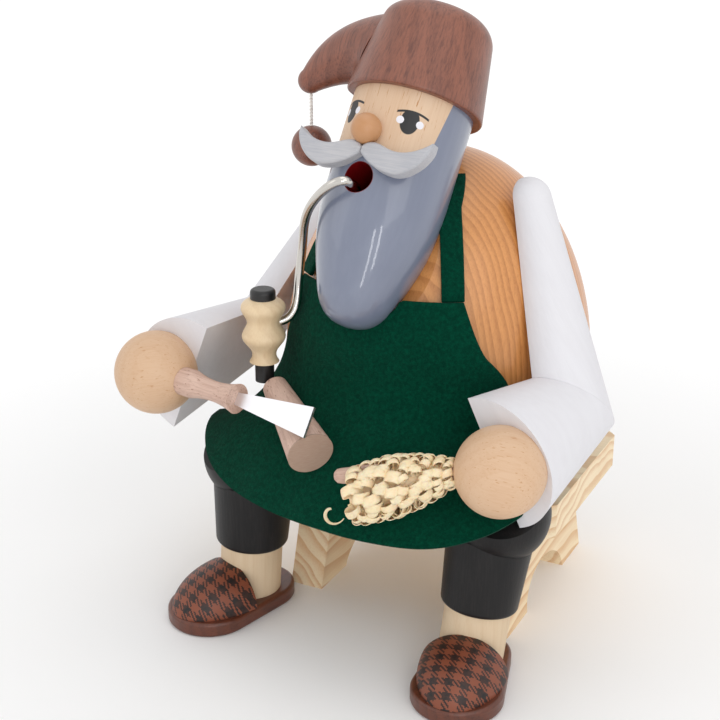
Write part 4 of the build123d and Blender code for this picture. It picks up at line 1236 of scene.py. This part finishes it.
class CARVER_OT_chips(bpy.types.Operator):
    """Shaves the chip tree and drops one loose shaving on the apron"""

    bl_idname = "carver.chips"
    bl_label = "Shaved tree"

    def execute(self, context):
        colours = context.scene.carver_colours
        sizes = context.scene.carver_sizes
        material = chip_material(colours)
        nib = at(*TREE_NIB)
        hand, radius = hand_ball("_left")
        way = (hand - nib).normalized()
        reach = (hand - nib).length - radius
        turn = way.to_track_quat("Z", "Y").to_matrix().to_4x4()
        tree = self.make_curls(material, sizes, reach - TREE_NIB_LENGTH)
        tree.data.transform(Matrix.Translation(nib + way * TREE_NIB_LENGTH) @ turn)
        core = self.make_core(material, reach)
        trunk = self.make_trunk(colours, nib, turn, reach)
        for piece in (core, trunk):
            piece.data.transform(Matrix.Translation(nib) @ turn)
        for piece in (tree, core):
            self.hang(piece, nib, way, reach)
        self.make_shaving(material, sizes)
        for piece in (tree, core, trunk):
            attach(piece, "upper_figure")
            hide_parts("chip_tree")
        return {"FINISHED"}

    def make_curls(self, material, sizes, reach):
        """The curls, from the nib's end at the origin up along Z."""
        curl = curl_mesh(sizes, material)
        tree = new_piece("shaved_tree", [(0, 0, 0)], [], material)
        modifier = tree.modifiers.new("curls", "NODES")
        modifier.node_group = tree_nodes(curl, material)
        values = {
            "Tiers": sizes.chip_tiers, "Curls Round": sizes.chips_round, "Length": reach,
            "Radius": TREE_RADIUS, "Seed": TREE_SEED,
        }
        for socket in modifier.node_group.interface.items_tree:
            if socket.in_out == "INPUT":
                modifier[socket.identifier] = values[socket.name]
        settle(tree)
        bpy.data.objects.remove(curl)
        return tree

    def make_shaving(self, material, sizes):
        """One loose shaving that lies on the felt and curls up at its thin end."""
        shape = ApronShape(sizes.felt_thickness / MM)
        vertices = []
        for step in range(SHAVING_STEPS):
            share = step / (SHAVING_STEPS - 1)
            angle = SHAVING_TURN * share
            half = SHAVING_HALF * (1 - SHAVING_TAPER * share)
            for side in (-1, 1):
                reach = SHAVING_RADIUS * (1 - SHAVING_ROLL * share) + side * half
                along = SHAVING_SHARE + reach * math.sin(angle) / FELT_RUN
                lift = SHAVING_LIFT + SHAVING_RISE * share + SHAVING_TIP * side
                vertices.append(at(*shape.point(along, SHAVING_SIDE + reach * math.cos(angle), lift)))
        shaving = new_piece("loose_shaving", vertices, grid_faces(SHAVING_STEPS, 2), material)
        thicken(shaving, sizes.chip_thickness, SHAVING_EDGE * MM)
        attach(shaving, "upper_figure")

    def make_core(self, material, reach):
        """The close inner roll of shavings, which shows between the curls."""
        profile = [(0.0, TREE_NIB_LENGTH)]
        for step in range(CORE_STEPS):
            share = (step + 0.5) / CORE_STEPS
            swell = math.sin(math.pi * (TREE_SWELL_START + TREE_SWELL_SPAN * share))
            along = TREE_NIB_LENGTH + (reach - TREE_NIB_LENGTH) * share
            profile.append((TREE_RADIUS * TREE_CORE * swell, along))
        profile.append((0.0, reach))
        return new_piece("shaved_core", *lathe(profile, TREE_SIDES), material)

    def hang(self, piece, nib, way, reach):
        """Lets the curls hang lower toward the nib."""
        for vertex in piece.data.vertices:
            share = min(max((vertex.co - nib).dot(way) / reach, 0.0), 1.0)
            vertex.co += Vector(TREE_SAG) * MM * (1 - share)

    def make_trunk(self, colours, nib, turn, reach):
        """The whittled stick that the curls grow from, rounded at its nib."""
        wood = wood_material(
            "whittled_trunk", colours.pink_beech, colours.pink_dark, TRUNK_WOOD, nib, turn.to_euler(),
            Roughness=0.6,
        )
        far = reach / MM
        profile = [*TRUNK_NIB, *((radius, far * share) for radius, share in TRUNK_BODY)]
        profile += [(TRUNK_END_RADIUS, far + TRUNK_END), (0.0, far + TRUNK_END)]
        metres = [(radius * MM, along * MM) for radius, along in profile]
        return new_piece("whittled_trunk", *lathe(metres, TREE_SIDES), wood)


# The bobble's thread: two plies that wind round each other
PLIES = (0, math.pi)
PLY_ROWS = 100
PLY_SIDES = 8
PLY_TURNS = 9
PLY_OFFSET = 0.6


def thread_material(colours):
    """Pale fuzzy thread."""
    net = Look("bobble_thread")
    fuzz = net.noise(net.place(), 6.0, 3.0)
    colour = net.mix(net.ramp(fuzz, 0.3, 0.7, 0.0, 0.3), colours.thread, colours.beech)
    return net.finish(colour, fuzz, bump=0.4, Roughness=0.9)


class CARVER_OT_thread(bpy.types.Operator):
    """Twists the bobble's thread"""

    bl_idname = "carver.thread"
    bl_label = "Thread"

    def execute(self, context):
        radius = context.scene.carver_sizes.thread_radius
        low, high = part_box("thread")
        middle = node_middle("thread")
        vertices = []
        faces = []
        for ply in PLIES:
            start = len(vertices)
            for row in range(PLY_ROWS):
                share = row / (PLY_ROWS - 1)
                angle = ply + share * 2 * math.pi * PLY_TURNS
                centre = middle + Vector((math.cos(angle), math.sin(angle), 0)) * radius * PLY_OFFSET
                centre.z = low.z + (high.z - low.z) * share
                for step in range(PLY_SIDES):
                    turn = 2 * math.pi * step / PLY_SIDES
                    vertices.append(centre + Vector((math.cos(turn), math.sin(turn), 0)) * radius)
            for row in range(PLY_ROWS - 1):
                for step in range(PLY_SIDES):
                    first = start + row * PLY_SIDES + step
                    second = start + row * PLY_SIDES + (step + 1) % PLY_SIDES
                    faces.append((first, second, second + PLY_SIDES, first + PLY_SIDES))
            faces.append(tuple(reversed(range(start, start + PLY_SIDES))))
            faces.append(tuple(range(start + (PLY_ROWS - 1) * PLY_SIDES, start + PLY_ROWS * PLY_SIDES)))
        material = thread_material(context.scene.carver_colours)
        thread = new_piece("twisted_thread", vertices, faces, material)
        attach(thread, "bobble")
        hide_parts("thread")
        return {"FINISHED"}


# Camera and floor: the shadow fades out over a reach in millimetres, and the half width is in metres
CAMERA_PLACE = (179.4, -313.5, 205.0)
SENSOR_WIDTH = 36
SHADOW_REACH = (100.0, 280.0)
FLOOR_HALF = 40.0
FLOOR_SPECK = (0.9, 0.9, 0.9)
FLOOR_SPECK_SHARE = 0.02
# Lamps: the point they face, then place, width and height in metres and the property with the power
LAMP_TARGET = (0, -10, 75)
LAMPS = (
    ("key", (0.55, -0.32, 0.5), 0.42, 0.42, "key_power"),
    ("fill", (-0.55, -0.45, 0.4), 0.42, 0.42, "fill_power"),
    ("top", (0.05, 0.05, 0.85), 0.6, 0.6, "top_power"),
    ("left strip", (0.31, -0.55, 0.19), 0.035, 0.26, "strip_power"),
    ("right strip", (0.41, -0.48, 0.19), 0.035, 0.26, "strip_power"),
)


def seen_directly(net):
    """One on the way from the camera, a mirror or glass, else zero."""
    path = net.tree.nodes.new("ShaderNodeLightPath").outputs
    mirrored = net.math("MAXIMUM", path["Is Glossy Ray"], path["Is Transmission Ray"])
    return net.math("MAXIMUM", path["Is Camera Ray"], mirrored)


class CARVER_OT_stage(bpy.types.Operator):
    """Sets the floor, the lamps and the camera"""

    bl_idname = "carver.stage"
    bl_label = "Stage"

    def execute(self, context):
        stage = context.scene.carver_stage
        self.make_camera(context, stage)
        self.make_floor(stage)
        self.make_lamps(stage)
        self.make_world(context, stage)
        context.scene.view_settings.view_transform = "Standard"
        return {"FINISHED"}

    def make_camera(self, context, stage):
        data = bpy.data.cameras.new("view")
        data.lens = stage.lens
        data.sensor_width = SENSOR_WIDTH
        camera = bpy.data.objects.new("view", data)
        camera.location = at(*CAMERA_PLACE)
        camera.rotation_euler = (math.pi / 2 - stage.camera_dip, 0, stage.camera_turn)
        context.scene.collection.objects.link(camera)
        context.scene.camera = camera

    def make_floor(self, stage):
        """A pale floor that keeps the figure's shadow and is plain white farther out."""
        net = Look("pale_floor")
        vector = net.place()
        speck = net.noise(vector, 0.05, 2.0)
        share = net.ramp(speck, 0.3, 0.7, 0.0, FLOOR_SPECK_SHARE)
        white = net.times(net.ramp(net.far(vector), *SHADOW_REACH), seen_directly(net))
        colour = net.mix(white, net.mix(share, stage.floor, FLOOR_SPECK), (0, 0, 0))
        material = net.finish(
            colour, speck, bump=0.02, Roughness=0.8, Emission_Color=(1, 1, 1), Emission_Strength=white
        )
        half = FLOOR_HALF
        vertices = [(-half, -half, 0), (half, -half, 0), (half, half, 0), (-half, half, 0)]
        floor = new_piece("floor", vertices, [(0, 1, 2, 3)], material)

    def make_lamps(self, stage):
        target = at(*LAMP_TARGET)
        for name, place, width, height, source in LAMPS:
            data = bpy.data.lights.new(name, "AREA")
            data.shape = "RECTANGLE"
            data.size = width
            data.size_y = height
            data.energy = getattr(stage, source)
            lamp = bpy.data.objects.new(name, data)
            lamp.location = place
            lamp.rotation_euler = (Vector(place) - target).to_track_quat("Z", "Y").to_euler()
            bpy.context.scene.collection.objects.link(lamp)

    def make_world(self, context, stage):
        world = bpy.data.worlds.new("room")
        world.use_nodes = True
        context.scene.world = world
        net = Net(world.node_tree)
        back = world.node_tree.nodes["Background"]
        net.feed(back.inputs["Color"], (1, 1, 1))
        net.feed(back.inputs["Strength"], net.ramp(seen_directly(net), 0.0, 1.0, stage.room_light, 1.0))


class CARVER_PT_panel(bpy.types.Panel):
    """Lists the figure's pieces"""

    bl_label = "Seated carver"
    bl_idname = "CARVER_PT_panel"
    bl_space_type = "VIEW_3D"
    bl_region_type = "UI"
    bl_category = "Carver"

    def draw(self, context):
        for step in STEPS:
            self.layout.operator(step.bl_idname)


STEPS = (
    CARVER_OT_stage,
    CARVER_OT_stool,
    CARVER_OT_legs,
    CARVER_OT_torso,
    CARVER_OT_head,
    CARVER_OT_cap,
    CARVER_OT_thread,
    CARVER_OT_arms,
    CARVER_OT_tools,
    CARVER_OT_apron,
    CARVER_OT_chips,
)
GROUPS = (CarverColours, CarverSizes, CarverStage)


def register():
    for entry in (*GROUPS, *STEPS, CARVER_PT_panel):
        bpy.utils.register_class(entry)
    bpy.types.Scene.carver_colours = PointerProperty(type=CarverColours)
    bpy.types.Scene.carver_sizes = PointerProperty(type=CarverSizes)
    bpy.types.Scene.carver_stage = PointerProperty(type=CarverStage)


def unregister():
    del bpy.types.Scene.carver_stage
    del bpy.types.Scene.carver_sizes
    del bpy.types.Scene.carver_colours
    for entry in reversed((*GROUPS, *STEPS, CARVER_PT_panel)):
        bpy.utils.unregister_class(entry)


def main():
    register()
    for step in STEPS:
        group, name = step.bl_idname.split(".")
        getattr(getattr(bpy.ops, group), name)()


if __name__ == "__main__":
    main()
